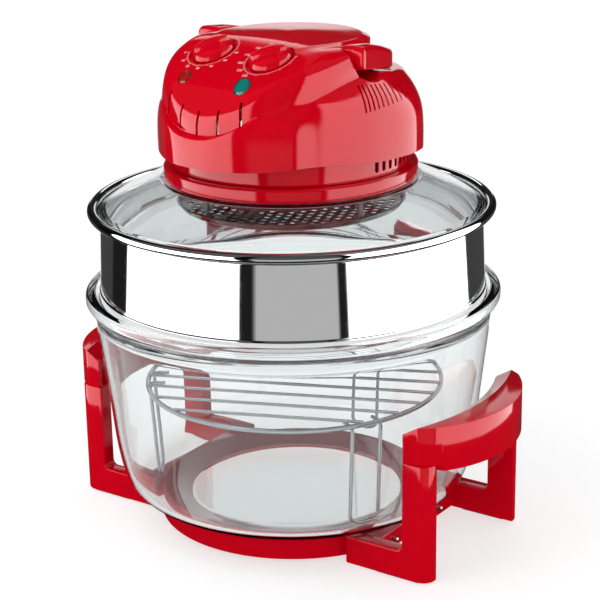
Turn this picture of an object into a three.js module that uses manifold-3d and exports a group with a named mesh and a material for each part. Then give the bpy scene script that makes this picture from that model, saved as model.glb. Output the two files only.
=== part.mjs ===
// Halogen oven: glass bowl on a stand, steel extension ring and a glass lid that carries the heater head.
// Millimetres, +Z up, origin on the floor under the middle of the bowl, control panel towards -Y.
import * as THREE from 'three';
import { mergeVertices } from 'three/addons/utils/BufferGeometryUtils.js';
import Module from 'manifold-3d';

const wasm = await Module();
wasm.setup();

// Driving dimensions

const seatGap = 0.3; // clearance between touching pieces
const overrun = 2; // how far a cutting shape passes a face
const roundSteps = 32; // sides of the large round pieces
const plainSteps = 24; // sides of the plain rings and plates
const smallSteps = 16; // sides of the small round pieces
const roundHoleSides = 8;
const wireSides = 6;
const legSteps = 14;
const beadSides = 8;
const fanSteps = 20;
const dialSides = 20;
const lampSteps = 30;
const hoodSteps = 8;
const archSteps = 8;
const pocketSides = 16;
const noseSides = 16;
const handleSteps = 10;
const chamferSteps = 64;

const bowl = {
  rimR: 170, rimTop: 198.6, rimHeight: 9, rimRound: 2, wall: 5, bottom: 14,
  ledgeInset: 11.1, ledgeDrop: 5.2, ledgeInnerInset: 17, ledgeFlare: 2.5,
};
const rimShares = { // radii as shares of bowl.rimR
  foot: 0.5176, ringOuter: 0.6765, ringInner: 0.5294, rack: 0.7206, legFoot: 0.6824,
};
const stand = {
  ringWall: 3, ringBottom: 3, ringHeight: 19, barSpacing: 150, barWidth: 13, barHeight: 23.5, barInset: 16.5,
  postLength: 24.5, postProud: 4.5, postTop: 99, cornerR: 11, webLength: 20, webHeight: 16, footLift: 1,
};
const foot = { length: 40, width: 9, thickness: 2.5, inset: 1.5 };
const frameScrew = { spacing: 70, shankR: 2, shankLength: 12, headR: 4, headHeight: 2.4 };
const handle = {
  bulge: 27, endInset: 1.5, innerInset: 9.5, innerArcR: 190, bottom: 94, top: 130,
  chamferDrop: 8.5, chamferWidth: 13, cornerR: 11,
};
const rack = {
  wireR: 2, height: 116.8, crossCount: 9, crossSpacing: 24, crossWireR: 1.3, crossAngleDeg: 22,
  legCount: 3, legWidth: 25, legWireR: 1.5, legAngleDeg: -28,
};
const extension = {
  height: 76.7, sheet: 1.2, flangeGap: 0.6, flangeWidth: 4.8, footInset: 1, topInset: 2.8, creaseRise: 8,
  beadR: 4, beadOut: 3, ledgeDrop: 9.4,
};
const lid = {
  thickness: 4, collarR: 104, rise: 29, collarWidth: 9, edgeHeight: 4.4, edgeRound: 3, seatWidth: 4,
};
const headTurn = THREE.MathUtils.degToRad(-8.5); // how the lid was set down on its round seat
const seal = { inset: 2.5, width: 6, thickness: 2 };
const clamp = { inset: 4, sleeveWall: 1.6, sleeveGap: 0.8, thickness: 1.5 };
const base = { outerR: 102.5, lean: 1.3, wall: 8.5, height: 11.5, floor: 4, floorHoleR: 30 };
const band = {
  outerR: 100.5, wall: 2.5, height: 21, slotCount: 9, slotWidth: 2.4, slotHeight: 9, slotRise: 7,
  slotPitch: 6.2, slotStartDeg: -6,
};
const cover = {
  r: 107, bottom: 312, top: 406, wall: 3, archRise: 9.5, archCentreY: -25, archR: 333, hoodFrontR: 105,
  hoodBottom: 335, coreR: 64.5, hoodBackY: -15,
};
const post = { r: 5, circleR: 88, count: 4, startDeg: 45 };
const coverScrew = { r: 2, headR: 3.4, headHeight: 1.8, length: 16 };
const bail = {
  innerR: 66.5, outerR: 89.5, frontY: -13.5, frontBottom: 386.3, backBottom: 377, ledgeGap: 1.5,
  pivotY: 2, pivotZ: 393.5, noseR: 16.2, noseGap: 0.8, top: 403, edgeDrop: 8,
};
const pin = { r: 3, reach: 20, headR: 4, headLength: 2 };
const ribs = {
  count: 12, width: 2.2, startDeg: -9, pitchDeg: 4.1, top: 371, topStep: 0.25, longest: 23, shortest: 7,
  cutDepth: 26,
};
const grille = { count: 5, width: 2.6, pitchDeg: 11, bottom: 338, height: 22 };
const dial = { x: 31, y: -52.7, wellR: 19, wellDepth: 2.2 };
const knob = {
  skirtR: 17, crownR: 14.5, skirtHeight: 6, lift: 0.6, gripLength: 28, gripWidth: 8, gripRise: 7,
  boreDepth: 8,
};
const shaft = { r: 3, holeGap: 1 };
const control = { width: 34, depth: 30, height: 16 };
const lens = { x: 31, y: -84.3, redR: 5.4, greenR: 7, stand: 1.6, depth: 6 };
const motor = { r: 30, height: 34, bottom: 313, bossR: 12, bossHeight: 5, shaftR: 2.5 };
const bracket = {
  plateR: 40, thickness: 1.5, holeR: 14, legR: 52, legWidth: 12, legThickness: 2, legCount: 3,
};
const coolingFan = { r: 40, hubR: 8, height: 9, blades: 7, blade: 1.5, plate: 1.2, bottom: 354 };
const airFan = { r: 52, hubR: 9, height: 9, blades: 8, blade: 1.5, plate: 1.2, bottom: 274 };
const reflector = { r: 91, thickness: 1.2, lip: 2, shaftHoleR: 6 };
const lamp = { r: 76, tubeR: 4.5, z: 282.6, gapDeg: 26, gapAtDeg: 217 };
const holder = { length: 14, width: 15, drop: 7 };
const clip = { width: 13, length: 8, hold: 2, gap: 0.5 };
const guard = {
  rimR: 92.3, rimTop: 271, sheet: 1, bottom: 265, flatR: 89.5, holeR: 4, rings: 3, ringPitch: 22,
  firstR: 28, holesPerRing: 4, holeSides: 6,
};
const standoff = { r: 3, count: 4, circleR: 84.2, startDeg: -8 };
const microSwitch = { length: 20, width: 7, height: 11, y: 78, socket: 5 };
const plunger = { r: 2 };
const terminal = { length: 30, width: 14, height: 12, y: 72 };
const gland = { r: 8, flangeR: 10.5, length: 12, flange: 3, boreR: 3.6, z: 341 };

// Sizes that follow from those above

const footR = rimShares.foot * bowl.rimR;
const ringOuterR = rimShares.ringOuter * bowl.rimR;
const ringInnerR = rimShares.ringInner * bowl.rimR;
const ledgeR = bowl.rimR - bowl.ledgeInset;
const ledgeInnerR = bowl.rimR - bowl.ledgeInnerInset;
const ledgeZ = bowl.rimTop - bowl.ledgeDrop;
const bowlHeight = bowl.rimTop - bowl.bottom;
const ringTop = stand.ringBottom + stand.ringHeight;
const barStart = ringOuterR - stand.barInset;
const barOuterY = stand.barSpacing / 2;
const barInnerY = barOuterY - stand.barWidth;
const barTop = stand.footLift + stand.barHeight;
const postOuterX = bowl.rimR + stand.postProud;
const postInnerX = postOuterX - stand.postLength;
const rackRingR = rimShares.rack * bowl.rimR;
const legFootR = rimShares.legFoot * bowl.rimR;
const flangeR = ledgeR - extension.flangeGap;
const wallFootR = flangeR - extension.footInset;
const wallTopR = flangeR - extension.topInset;
const beadCentreR = flangeR + extension.beadOut;
const beadInnerR = beadCentreR - extension.beadR;
const lidHoleR = lid.collarR - lid.collarWidth;
const sealOuterR = lid.collarR - seal.inset;
const clampOuterR = lid.collarR - clamp.inset;

// Colours and finishes

const finishes = {
  redPlastic: { color: 0xc8001e, roughness: 0.18, metalness: 0 },
  glass: { color: 0xe8f0f0, roughness: 0.03, metalness: 0 },
  steel: { color: 0xc9cbcc, roughness: 0.12, metalness: 1 },
  darkSteel: { color: 0x55585a, roughness: 0.35, metalness: 1 },
  rubber: { color: 0x1b1b1c, roughness: 0.85, metalness: 0 },
  silicone: { color: 0x8a1420, roughness: 0.7, metalness: 0 },
  ceramic: { color: 0xe9e4d8, roughness: 0.5, metalness: 0 },
  quartz: { color: 0x4a3028, roughness: 0.1, metalness: 0 },
  blackPlastic: { color: 0x202022, roughness: 0.5, metalness: 0 },
  aluminium: { color: 0xb4b6b8, roughness: 0.3, metalness: 1 },
  redLens: { color: 0x8f1a0c, roughness: 0.1, metalness: 0 },
  greenLens: { color: 0x0e8070, roughness: 0.1, metalness: 0 },
};

// Solids and geometry

function toSolid(geometry) {
  const plain = geometry.clone();
  for (const name of Object.keys(plain.attributes)) {
    if (name !== 'position') plain.deleteAttribute(name);
  }
  const merged = mergeVertices(plain, 1e-4);
  const place = merged.getAttribute('position');
  let index = Array.from(merged.getIndex().array);
  index = index.filter((v, i) => {
    const t = i - (i % 3);
    return index[t] !== index[t + 1] && index[t + 1] !== index[t + 2] && index[t + 2] !== index[t];
  });
  if (signedVolume(place, index) < 0) {
    for (let i = 0; i < index.length; i += 3) [index[i], index[i + 1]] = [index[i + 1], index[i]];
  }
  return new wasm.Manifold(new wasm.Mesh({
    numProp: 3, vertProperties: new Float32Array(place.array), triVerts: new Uint32Array(index),
  }));
}

function signedVolume(place, index) {
  const [a, b, c] = [new THREE.Vector3(), new THREE.Vector3(), new THREE.Vector3()];
  let sum = 0;
  for (let i = 0; i < index.length; i += 3) {
    a.fromBufferAttribute(place, index[i]);
    b.fromBufferAttribute(place, index[i + 1]);
    c.fromBufferAttribute(place, index[i + 2]);
    sum += a.dot(b.cross(c));
  }
  return sum;
}

function toGeometry(solid) {
  const mesh = solid.getMesh();
  const geometry = new THREE.BufferGeometry();
  geometry.setAttribute('position', new THREE.BufferAttribute(new Float32Array(mesh.vertProperties), 3));
  geometry.setIndex(new THREE.BufferAttribute(new Uint32Array(mesh.triVerts), 1));
  return geometry;
}

function turned(profile, steps = roundSteps) {
  const points = profile.map(([r, z]) => new THREE.Vector2(r, z));
  const onAxis = profile[0][0] === 0 && profile[profile.length - 1][0] === 0;
  if (!onAxis) points.push(points[0].clone());
  return toSolid(new THREE.LatheGeometry(points, steps).rotateX(Math.PI / 2));
}

function disc(r, bottom, top, steps = smallSteps) {
  return turned([[0, bottom], [r, bottom], [r, top], [0, top]], steps);
}

function box(x0, x1, y0, y1, z0, z1) {
  const geometry = new THREE.BoxGeometry(x1 - x0, y1 - y0, z1 - z0);
  return toSolid(geometry.translate((x0 + x1) / 2, (y0 + y1) / 2, (z0 + z1) / 2));
}

function ringPoints(innerR, outerR, bottom, top) {
  return [[innerR, bottom], [outerR, bottom], [outerR, top], [innerR, top]];
}

function circlePoints(centreR, centreZ, r, sides) {
  return Array.from({ length: sides }, (_, i) => {
    const angle = (2 * Math.PI * i) / sides;
    return [centreR + r * Math.cos(angle), centreZ + r * Math.sin(angle)];
  });
}

// An outline in X and Y, raised along Z
function raised(shape, bottom, top, curveSegments = 8) {
  const settings = { depth: top - bottom, bevelEnabled: false, curveSegments };
  const geometry = new THREE.ExtrudeGeometry(shape, settings);
  return toSolid(geometry.translate(0, 0, bottom));
}

// An outline of [y, z] points, drawn across the part along X
function across(points, halfWidth) {
  const shape = new THREE.Shape(points.map(([y, z]) => new THREE.Vector2(y, z)));
  const geometry = new THREE.ExtrudeGeometry(shape, { depth: 2 * halfWidth, bevelEnabled: false });
  geometry.translate(0, 0, -halfWidth);
  const basis = new THREE.Matrix4().makeBasis(
    new THREE.Vector3(0, 1, 0), new THREE.Vector3(0, 0, 1), new THREE.Vector3(1, 0, 0));
  return toSolid(geometry.applyMatrix4(basis));
}

function placed(solid, x, y, z) {
  return solid.translate([x, y, z]);
}

function spun(solid, angle) {
  return solid.rotate([0, 0, THREE.MathUtils.radToDeg(angle)]);
}

function joined(solids) {
  return solids.reduce((sum, next) => sum.add(next));
}

// A round wire or tube along a curve
function wire(curve, r, steps, sides) {
  const section = new THREE.Shape();
  for (let i = 0; i < sides; i += 1) {
    const angle = (2 * Math.PI * i) / sides;
    const point = [r * Math.cos(angle), r * Math.sin(angle)];
    if (i === 0) section.moveTo(...point);
    else section.lineTo(...point);
  }
  section.closePath();
  return toSolid(new THREE.ExtrudeGeometry(section, { steps, extrudePath: curve, bevelEnabled: false }));
}

const oven = new THREE.Group();
const head = new THREE.Group();
head.rotation.z = headTurn;
oven.add(head);

function piece(name, solid, finish, parent = oven) {
  const mesh = new THREE.Mesh(toGeometry(solid), new THREE.MeshStandardMaterial(finishes[finish]));
  mesh.name = name;
  parent.add(mesh);
  return mesh;
}

// Stand: ring under the bowl, two side frames and two handle bars

const seatSlope = (ringTop - bowl.bottom) / (ringOuterR - ringInnerR);
const webMiddleZ = stand.ringBottom + stand.webHeight / 2;
const bowlWallShares = [
  [0.776, 0.076], [0.821, 0.108], [0.855, 0.168], [0.882, 0.28], [0.908, 0.5], [0.962, 0.899],
];
const bowlWall = bowlWallShares.map(([r, z]) => [r * bowl.rimR, bowl.bottom + z * bowlHeight]);

function screwHole(side, y, r) {
  const hole = disc(r, -stand.webLength, stand.webLength).rotate([0, 90, 0]);
  return placed(hole, side * ringOuterR, y, webMiddleZ);
}

// The space of the bowl's lower half with a clearance under it
function bowlSpace() {
  return turned([
    [0, bowl.bottom], [footR, bowl.bottom], [ringOuterR, ringTop], ...bowlWall, [0, bowlWall.at(-1)[1]],
  ]).translate([0, 0, -seatGap]);
}

function standRing() {
  const innerTop = ringTop - seatSlope * (ringOuterR - ringInnerR);
  const wallR = ringOuterR - stand.ringWall;
  const underWall = ringTop - seatSlope * stand.ringWall - stand.ringWall;
  let ring = turned([
    [wallR, stand.ringBottom], [ringOuterR, stand.ringBottom], [ringOuterR, ringTop - seatGap],
    [ringInnerR, innerTop - seatGap], [ringInnerR, innerTop - stand.ringWall], [wallR, underWall],
  ]);
  for (const side of [-1, 1]) {
    for (const row of [-1, 1]) {
      ring = ring.subtract(screwHole(side, (row * frameScrew.spacing) / 2, frameScrew.shankR + seatGap));
    }
  }
  return ring;
}

function postOutline() {
  const shape = new THREE.Shape();
  const cornerX = postOuterX - stand.cornerR;
  shape.moveTo(postInnerX, -barOuterY);
  shape.lineTo(cornerX, -barOuterY);
  shape.absarc(cornerX, stand.cornerR - barOuterY, stand.cornerR, -Math.PI / 2, 0, false);
  shape.lineTo(postOuterX, -barInnerY);
  shape.lineTo(postInnerX, -barInnerY);
  shape.closePath();
  return shape;
}

function sideFrame(side) {
  const post = raised(postOutline(), stand.footLift, stand.postTop);
  const bar = box(barStart, postInnerX + overrun, -barOuterY, -barInnerY, stand.footLift, barTop);
  const front = post.add(bar);
  const back = front.mirror([0, 1, 0]);
  const webTop = stand.ringBottom + stand.webHeight;
  const webEnd = barStart + stand.webLength;
  let frame = joined([front, back,
    box(barStart, webEnd, -barInnerY - overrun, barInnerY + overrun, stand.ringBottom, webTop)]);
  frame = frame.subtract(disc(ringOuterR + seatGap, 0, stand.postTop, roundSteps)).subtract(bowlSpace());
  for (const row of [-1, 1]) {
    frame = frame.subtract(screwHole(1, (row * frameScrew.spacing) / 2, frameScrew.shankR + seatGap));
    frame = frame.subtract(footPad(row, seatGap));
  }
  return side > 0 ? frame : frame.mirror([1, 0, 0]);
}

function footPad(row, extra) {
  const endX = postOuterX - stand.cornerR + foot.inset;
  const midY = row * (barOuterY - stand.barWidth / 2);
  const half = foot.width / 2 + extra;
  const bottom = extra > 0 ? -overrun : 0;
  const padTop = foot.thickness + extra;
  return box(endX - foot.length - extra, endX + extra, midY - half, midY + half, bottom, padTop);
}

function frameScrewSolid(side, row) {
  const inside = ringOuterR - stand.ringWall - frameScrew.headHeight - 2 * seatGap;
  const screw = disc(frameScrew.shankR, 0, frameScrew.shankLength, roundHoleSides).add(
    disc(frameScrew.headR, 0, frameScrew.headHeight, roundHoleSides));
  const y = (row * frameScrew.spacing) / 2;
  const reach = Math.sqrt(inside ** 2 - (Math.abs(y) + frameScrew.headR) ** 2);
  const turnedScrew = placed(screw.rotate([0, 90, 0]), reach, y, webMiddleZ);
  return side > 0 ? turnedScrew : turnedScrew.mirror([1, 0, 0]);
}

function handleBar(side) {
  const shape = new THREE.Shape();
  const reach = postOuterX - handle.endInset + handle.bulge;
  const halfChord = barOuterY - handle.cornerR / 2;
  const outerArcR = (halfChord ** 2 + handle.bulge ** 2) / (2 * handle.bulge);
  const outerCentre = reach - outerArcR;
  const innerCentre = postOuterX - handle.innerInset - handle.innerArcR;
  const endAngle = Math.asin(halfChord / outerArcR);
  const innerEnd = Math.asin(barOuterY / handle.innerArcR);
  shape.moveTo(innerCentre + handle.innerArcR * Math.cos(innerEnd), -barOuterY);
  shape.lineTo(postOuterX - handle.cornerR, -barOuterY);
  shape.absarc(outerCentre, 0, outerArcR, -endAngle, endAngle, false);
  shape.lineTo(postOuterX - handle.cornerR, barOuterY);
  shape.lineTo(innerCentre + handle.innerArcR * Math.cos(innerEnd), barOuterY);
  shape.absarc(innerCentre, 0, handle.innerArcR, innerEnd, -innerEnd, true);
  let bar = raised(shape, handle.bottom, handle.top, handleSteps);
  const chamferBottom = handle.top - handle.chamferDrop;
  const slope = handle.chamferWidth / handle.chamferDrop;
  bar = bar.subtract(placed(turned([
    [0, chamferBottom], [handle.innerArcR, chamferBottom],
    [handle.innerArcR + handle.chamferWidth + overrun * slope, handle.top + overrun],
    [0, handle.top + overrun],
  ], chamferSteps), innerCentre, 0, 0));
  const postSeat = stand.postTop + seatGap;
  for (const row of [-1, 1]) {
    const near = row * (barInnerY - seatGap);
    const far = row * (barOuterY + overrun);
    bar = bar.subtract(box(postInnerX - overrun, reach, Math.min(near, far), Math.max(near, far),
      handle.bottom - overrun, postSeat));
  }
  return side > 0 ? bar : bar.mirror([1, 0, 0]);
}

piece('stand_ring', standRing(), 'redPlastic');
for (const [sideName, side] of [['left', -1], ['right', 1]]) {
  piece(`side_frame_${sideName}`, sideFrame(side), 'redPlastic');
  piece(`handle_bar_${sideName}`, handleBar(side), 'redPlastic');
  for (const [rowName, row] of [['front', -1], ['rear', 1]]) {
    const pad = side > 0 ? footPad(row, 0) : footPad(row, 0).mirror([1, 0, 0]);
    piece(`rubber_foot_${sideName}_${rowName}`, pad, 'rubber');
    piece(`frame_screw_${sideName}_${rowName}`, frameScrewSolid(side, row), 'steel');
  }
}

// Glass bowl with a flared rim and an inner ledge for the ring

const floorShares = [1, 0.667, 0.333, 0, 0, 0]; // of the wall's thickness, above each point of the wall
const bowlFloor = [
  [0, bowl.bottom + bowl.wall], [footR - bowl.wall, bowl.bottom + bowl.wall],
  [ringOuterR - bowl.wall, ringTop + bowl.wall],
  ...bowlWall.map(([r, z], i) => [r - bowl.wall, z + bowl.wall * floorShares[i]]),
];

function bowlInsideZ(r) {
  const i = bowlFloor.findIndex(([pointR]) => pointR > r);
  const [low, high] = [bowlFloor[i - 1], bowlFloor[i]];
  return THREE.MathUtils.mapLinear(r, low[0], high[0], low[1], high[1]);
}

function glassBowl() {
  const rimBottom = bowl.rimTop - bowl.rimHeight;
  const neckR = bowl.rimR - bowl.rimRound;
  return turned([
    [0, bowl.bottom], [footR, bowl.bottom], [ringOuterR, ringTop], ...bowlWall,
    [neckR, rimBottom], [bowl.rimR, rimBottom + bowl.rimRound], [bowl.rimR, bowl.rimTop - bowl.rimRound],
    [neckR, bowl.rimTop], [ledgeR + bowl.ledgeFlare, bowl.rimTop], [ledgeR, ledgeZ],
    [ledgeInnerR, ledgeZ], ...bowlFloor.slice().reverse(),
  ]);
}

piece('glass_bowl', glassBowl(), 'glass');

// Wire rack that stands in the bowl on three bent legs

class RackLeg extends THREE.Curve {
  getPoint(t, target = new THREE.Vector3()) {
    const half = rack.legWidth / 2;
    const legTop = rack.height - rack.wireR - seatGap;
    const footZ = bowlInsideZ(legFootR) + seatGap + rack.legWireR;
    const straight = legTop - footZ - half;
    const total = 2 * straight + Math.PI * half;
    const run = t * total;
    let y = -half;
    let z = legTop - run;
    if (run > straight + Math.PI * half) {
      y = half;
      z = legTop - (total - run);
    } else if (run > straight) {
      const angle = Math.PI + (run - straight) / half;
      y = half * Math.cos(angle);
      z = footZ + half + half * Math.sin(angle);
    }
    const lean = (legTop - z) / (legTop - footZ);
    const topX = Math.sqrt(rackRingR ** 2 - half ** 2);
    return target.set(THREE.MathUtils.lerp(topX, legFootR, lean), y, z);
  }
}

function rackSolid() {
  const crossZ = rack.height + rack.wireR;
  let solid = turned(circlePoints(rackRingR, rack.height, rack.wireR, wireSides));
  const middle = (rack.crossCount - 1) / 2;
  for (let i = 0; i < rack.crossCount; i += 1) {
    const y = (i - middle) * rack.crossSpacing;
    const half = Math.sqrt(rackRingR ** 2 - y ** 2);
    const ends = [new THREE.Vector3(-half, y, crossZ), new THREE.Vector3(half, y, crossZ)];
    const line = new THREE.LineCurve3(...ends);
    const cross = wire(line, rack.crossWireR, 1, wireSides);
    solid = solid.add(spun(cross, THREE.MathUtils.degToRad(rack.crossAngleDeg)));
  }
  return solid;
}

piece('wire_rack', rackSolid(), 'steel');
for (let i = 0; i < rack.legCount; i += 1) {
  const leg = wire(new RackLeg(), rack.legWireR, legSteps, wireSides);
  const angle = THREE.MathUtils.degToRad(rack.legAngleDeg) + (2 * Math.PI * i) / rack.legCount;
  piece(`rack_leg_${i + 1}`, spun(leg, angle), 'steel');
}

// Steel extension ring between bowl and lid, with a rolled bead and an inner ledge for the lid

const ringFootZ = ledgeZ + seatGap;
const extensionTop = ringFootZ + extension.height;
const lidLedgeZ = extensionTop - extension.ledgeDrop;
const lidSeatZ = lidLedgeZ + extension.sheet;

function extensionRing() {
  const { sheet, beadR, creaseRise } = extension;
  const creaseZ = ringFootZ + creaseRise;
  const beadZ = extensionTop - beadR;
  const bead = circlePoints(beadCentreR, beadZ, beadR, beadSides).filter(([r]) => r > beadInnerR);
  const low = bead.findIndex(([r, z]) => z < beadZ && r > beadCentreR);
  const around = [...bead.slice(low), ...bead.slice(0, low)].filter(([r, z]) => z > beadZ || r > beadCentreR);
  const innerFootR = flangeR - extension.flangeWidth;
  return turned([
    [innerFootR, ringFootZ], [flangeR, ringFootZ], [flangeR, creaseZ - sheet], [wallFootR, creaseZ],
    [wallTopR, lidLedgeZ], [beadInnerR + sheet, lidLedgeZ], [beadInnerR + sheet, beadZ - beadR / 2],
    ...around, [beadInnerR, beadZ], [beadInnerR, lidSeatZ], [wallTopR - sheet, lidSeatZ],
    [wallFootR - sheet, creaseZ], [flangeR - sheet, ringFootZ + 2 * sheet],
    [innerFootR, ringFootZ + sheet],
  ]);
}

piece('extension_ring', extensionRing(), 'steel');

// Glass lid: shallow dome with a flat collar under the head

const lidEdgeZ = lidSeatZ + seatGap;
const lidEdgeR = beadInnerR * Math.cos(Math.PI / roundSteps) - seatGap; // clears the ring's flat sides
const collarTop = lidEdgeZ + lid.rise;
const lidDomeShares = [[0.716, 0.42], [0.452, 0.645], [0.189, 0.86]];

function glassLid() {
  const shoulderR = lidEdgeR - lid.edgeRound;
  const shoulderZ = lidEdgeZ + lid.edgeHeight + lid.edgeRound / 2;
  const dome = lidDomeShares.map(([r, z]) => [
    THREE.MathUtils.lerp(lid.collarR, lidEdgeR, r), THREE.MathUtils.lerp(lidEdgeZ, collarTop, z)]);
  const underDome = dome.slice().reverse().map(([r, z]) => [r - lid.thickness / 4, z - lid.thickness]);
  return turned([
    [lidEdgeR, lidEdgeZ], [lidEdgeR, lidEdgeZ + lid.edgeHeight], [shoulderR, shoulderZ], ...dome,
    [lid.collarR, collarTop], [lidHoleR, collarTop], [lidHoleR, collarTop - lid.thickness],
    [lid.collarR - lid.thickness / 4, collarTop - lid.thickness], ...underDome,
    [lidEdgeR - lid.seatWidth, lidEdgeZ],
  ]);
}

piece('glass_lid', glassLid(), 'glass', head);

const sealBottom = collarTop + seatGap;
const sealTop = sealBottom + seal.thickness;
const sealRing = turned(ringPoints(sealOuterR - seal.width, sealOuterR, sealBottom, sealTop), plainSteps);
piece('lid_seal', sealRing, 'silicone', head);

function clampRing() {
  const top = collarTop - lid.thickness - seatGap;
  const sleeveR = lidHoleR - clamp.sleeveGap;
  const innerR = sleeveR - clamp.sleeveWall;
  return turned([
    [innerR, top - clamp.thickness], [clampOuterR, top - clamp.thickness], [clampOuterR, top],
    [sleeveR, top], [sleeveR, sealBottom], [innerR, sealBottom],
  ], plainSteps);
}

piece('lid_clamp_ring', clampRing(), 'darkSteel', head);

// Head base: bottom ring with a floor, and the slotted band above it

const baseBottom = sealTop + seatGap;
const baseTop = baseBottom + base.height;
const floorTop = baseBottom + base.floor;
const baseInnerR = base.outerR - base.wall;
const screwAngles = Array.from({ length: post.count }, (_, i) => (
  THREE.MathUtils.degToRad(post.startDeg) + (2 * Math.PI * i) / post.count));

function headBase() {
  let solid = turned([
    [base.floorHoleR, baseBottom], [base.outerR, baseBottom], [base.outerR, baseTop - base.lean],
    [base.outerR - base.lean, baseTop], [baseInnerR, baseTop],
    [baseInnerR, floorTop], [base.floorHoleR, floorTop],
  ]);
  const sinkTop = baseBottom + coverScrew.headHeight + seatGap;
  const hole = disc(coverScrew.headR + seatGap, baseBottom - overrun, sinkTop).add(
    disc(coverScrew.r + seatGap, baseBottom, floorTop + overrun, roundHoleSides));
  for (const angle of screwAngles) solid = solid.subtract(spun(placed(hole, post.circleR, 0, 0), angle));
  return solid;
}

piece('head_base', headBase(), 'redPlastic', head);

const bandBottom = baseTop + seatGap;
const bandTop = bandBottom + band.height;
const bandInnerR = band.outerR - band.wall;

function ventBand() {
  let solid = turned(ringPoints(bandInnerR, band.outerR, bandBottom, bandTop));
  const half = band.slotWidth / 2;
  const slotBottom = bandBottom + band.slotRise;
  const slotTop = slotBottom + band.slotHeight;
  const slot = box(bandInnerR - overrun, band.outerR + overrun, -half, half, slotBottom, slotTop);
  for (let i = 0; i < band.slotCount; i += 1) {
    const angle = THREE.MathUtils.degToRad(band.slotStartDeg) + (i * band.slotPitch) / band.outerR;
    solid = solid.subtract(spun(slot, angle)).subtract(spun(slot, Math.PI - angle));
  }
  return solid;
}

piece('vent_band', ventBand(), 'redPlastic', head);

// Upper cover: a dome with a raised control hood, and a ledge round the back for the bail handle

const coverHeight = cover.top - cover.bottom;
const flankShares = [
  [0.981, 0], [1, 0.19], [0.993, 0.33], [0.963, 0.441], [0.916, 0.548], [0.86, 0.636], [0.804, 0.709],
  [0.748, 0.753], [0, 0.809],
];
const hoodRoofShares = [
  [1.01, 0.2], [1, 0.404], [0.967, 0.564], [0.916, 0.702], [0.864, 0.793], [0.794, 0.872],
  [0.71, 0.932], [0, 1],
];
const coreTopShares = [[0.542, 0.968], [0, 1]];
const coreEdgeShare = 0.936;
const coreFootRow = 6;
const panelShares = [
  [-0.991, 0.234], [-0.977, 0.319], [-0.949, 0.415], [-0.9, 0.54], [-0.788, 0.697], [-0.654, 0.789],
  [-0.336, 0.951], [-0.243, 0.979], [-0.112, 0.991],
];
const hoodSideShares = [[0.486, -0.846], [0.551, -0.734], [0.65, -0.57], [0.724, -0.355]];
const hoodBackShare = 0.752;

// A table of shares as [r, z] points of the cover, drawn in by the wall on its inside
function coverPoints(shares, wall) {
  const height = coverHeight - wall;
  return shares.map(([r, z]) => [r * (cover.r - wall), cover.bottom + z * height]);
}

const panel = coverPoints(panelShares, 0);
const dialSlope = slopeAt(dial.y);
const lensSlope = slopeAt(lens.y - lens.greenR / 2);

function panelSegment(y) {
  const i = panel.findIndex(([pointY]) => pointY > y);
  return [panel[i - 1], panel[i]];
}

function panelZ(y) {
  const [low, high] = panelSegment(y);
  return THREE.MathUtils.mapLinear(y, low[0], high[0], low[1], high[1]);
}

function slopeAt(y) {
  const [low, high] = panelSegment(y);
  return Math.atan2(high[1] - low[1], high[0] - low[0]);
}

// Stands a solid square on the sloping control panel
function onPanel(solid, x, y, slope) {
  return placed(solid.rotate([THREE.MathUtils.radToDeg(slope), 0, 0]), x, y, panelZ(y));
}

function bailBottomZ(y) {
  return THREE.MathUtils.mapLinear(y, bail.frontY, bail.outerR, bail.frontBottom, bail.backBottom);
}

function coverFlank(wall) {
  const start = cover.bottom - (wall > 0 ? overrun : 0);
  const points = coverPoints(flankShares, wall);
  const flank = turned([[0, start], [points[0][0], start], ...points.slice(wall > 0 ? 0 : 1)]);
  const low = cover.hoodBackY - wall;
  const high = 2 * cover.r;
  const drop = bail.ledgeGap + wall;
  return flank.subtract(across([
    [low, bailBottomZ(low) - drop], [high, bailBottomZ(high) - drop], [high, high * 2], [low, high * 2],
  ], high));
}

function coverHood(wall) {
  const outline = new THREE.Shape();
  const side = hoodSideShares.map(([x, y]) => [x * (cover.r - wall), y * (cover.r - wall)]);
  side.push([hoodBackShare * (cover.r - wall), cover.hoodBackY - wall]);
  const frontAngle = Math.atan2(side[0][1], side[0][0]);
  outline.absarc(0, 0, cover.hoodFrontR - wall, -Math.PI - frontAngle, frontAngle, false);
  for (const [x, y] of side) outline.lineTo(x, y);
  for (const [x, y] of side.reverse()) outline.lineTo(-x, y);
  const roof = coverPoints(hoodRoofShares, wall);
  const plug = raised(outline, cover.hoodBottom, cover.top, hoodSteps);
  return plug.intersect(turned([[0, roof[0][1]], ...roof]));
}

function coverCore(wall) {
  const r = cover.coreR - wall;
  const foot = coverPoints(flankShares, wall)[coreFootRow][1];
  const edge = cover.bottom + coreEdgeShare * (coverHeight - wall);
  return turned([[0, foot], [r, foot], [r, edge], ...coverPoints(coreTopShares, wall)]);
}

function abovePanel(wall) {
  const face = coverPoints(panelShares, wall);
  const far = 2 * cover.r;
  const last = face[face.length - 1][0];
  return across([...face, [last, 2 * cover.top], [-far, 2 * cover.top], [-far, face[0][1]]], far);
}

// Hollow at each bail pivot that lets the nose of the arm swing down
function pivotPocket(wall) {
  const r = bail.noseR + bail.noseGap + wall;
  const length = cover.r;
  const start = cover.coreR - wall;
  const crosswise = disc(r, start, start + length, pocketSides).rotate([0, 90, 0]);
  const trough = placed(crosswise, 0, bail.pivotY, bail.pivotZ);
  return trough.add(trough.mirror([1, 0, 0]));
}

function coverForm(wall) {
  const lower = coverFlank(wall).subtract(pivotPocket(wall));
  return lower.add(coverHood(wall)).add(coverCore(wall)).subtract(abovePanel(wall));
}

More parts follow.
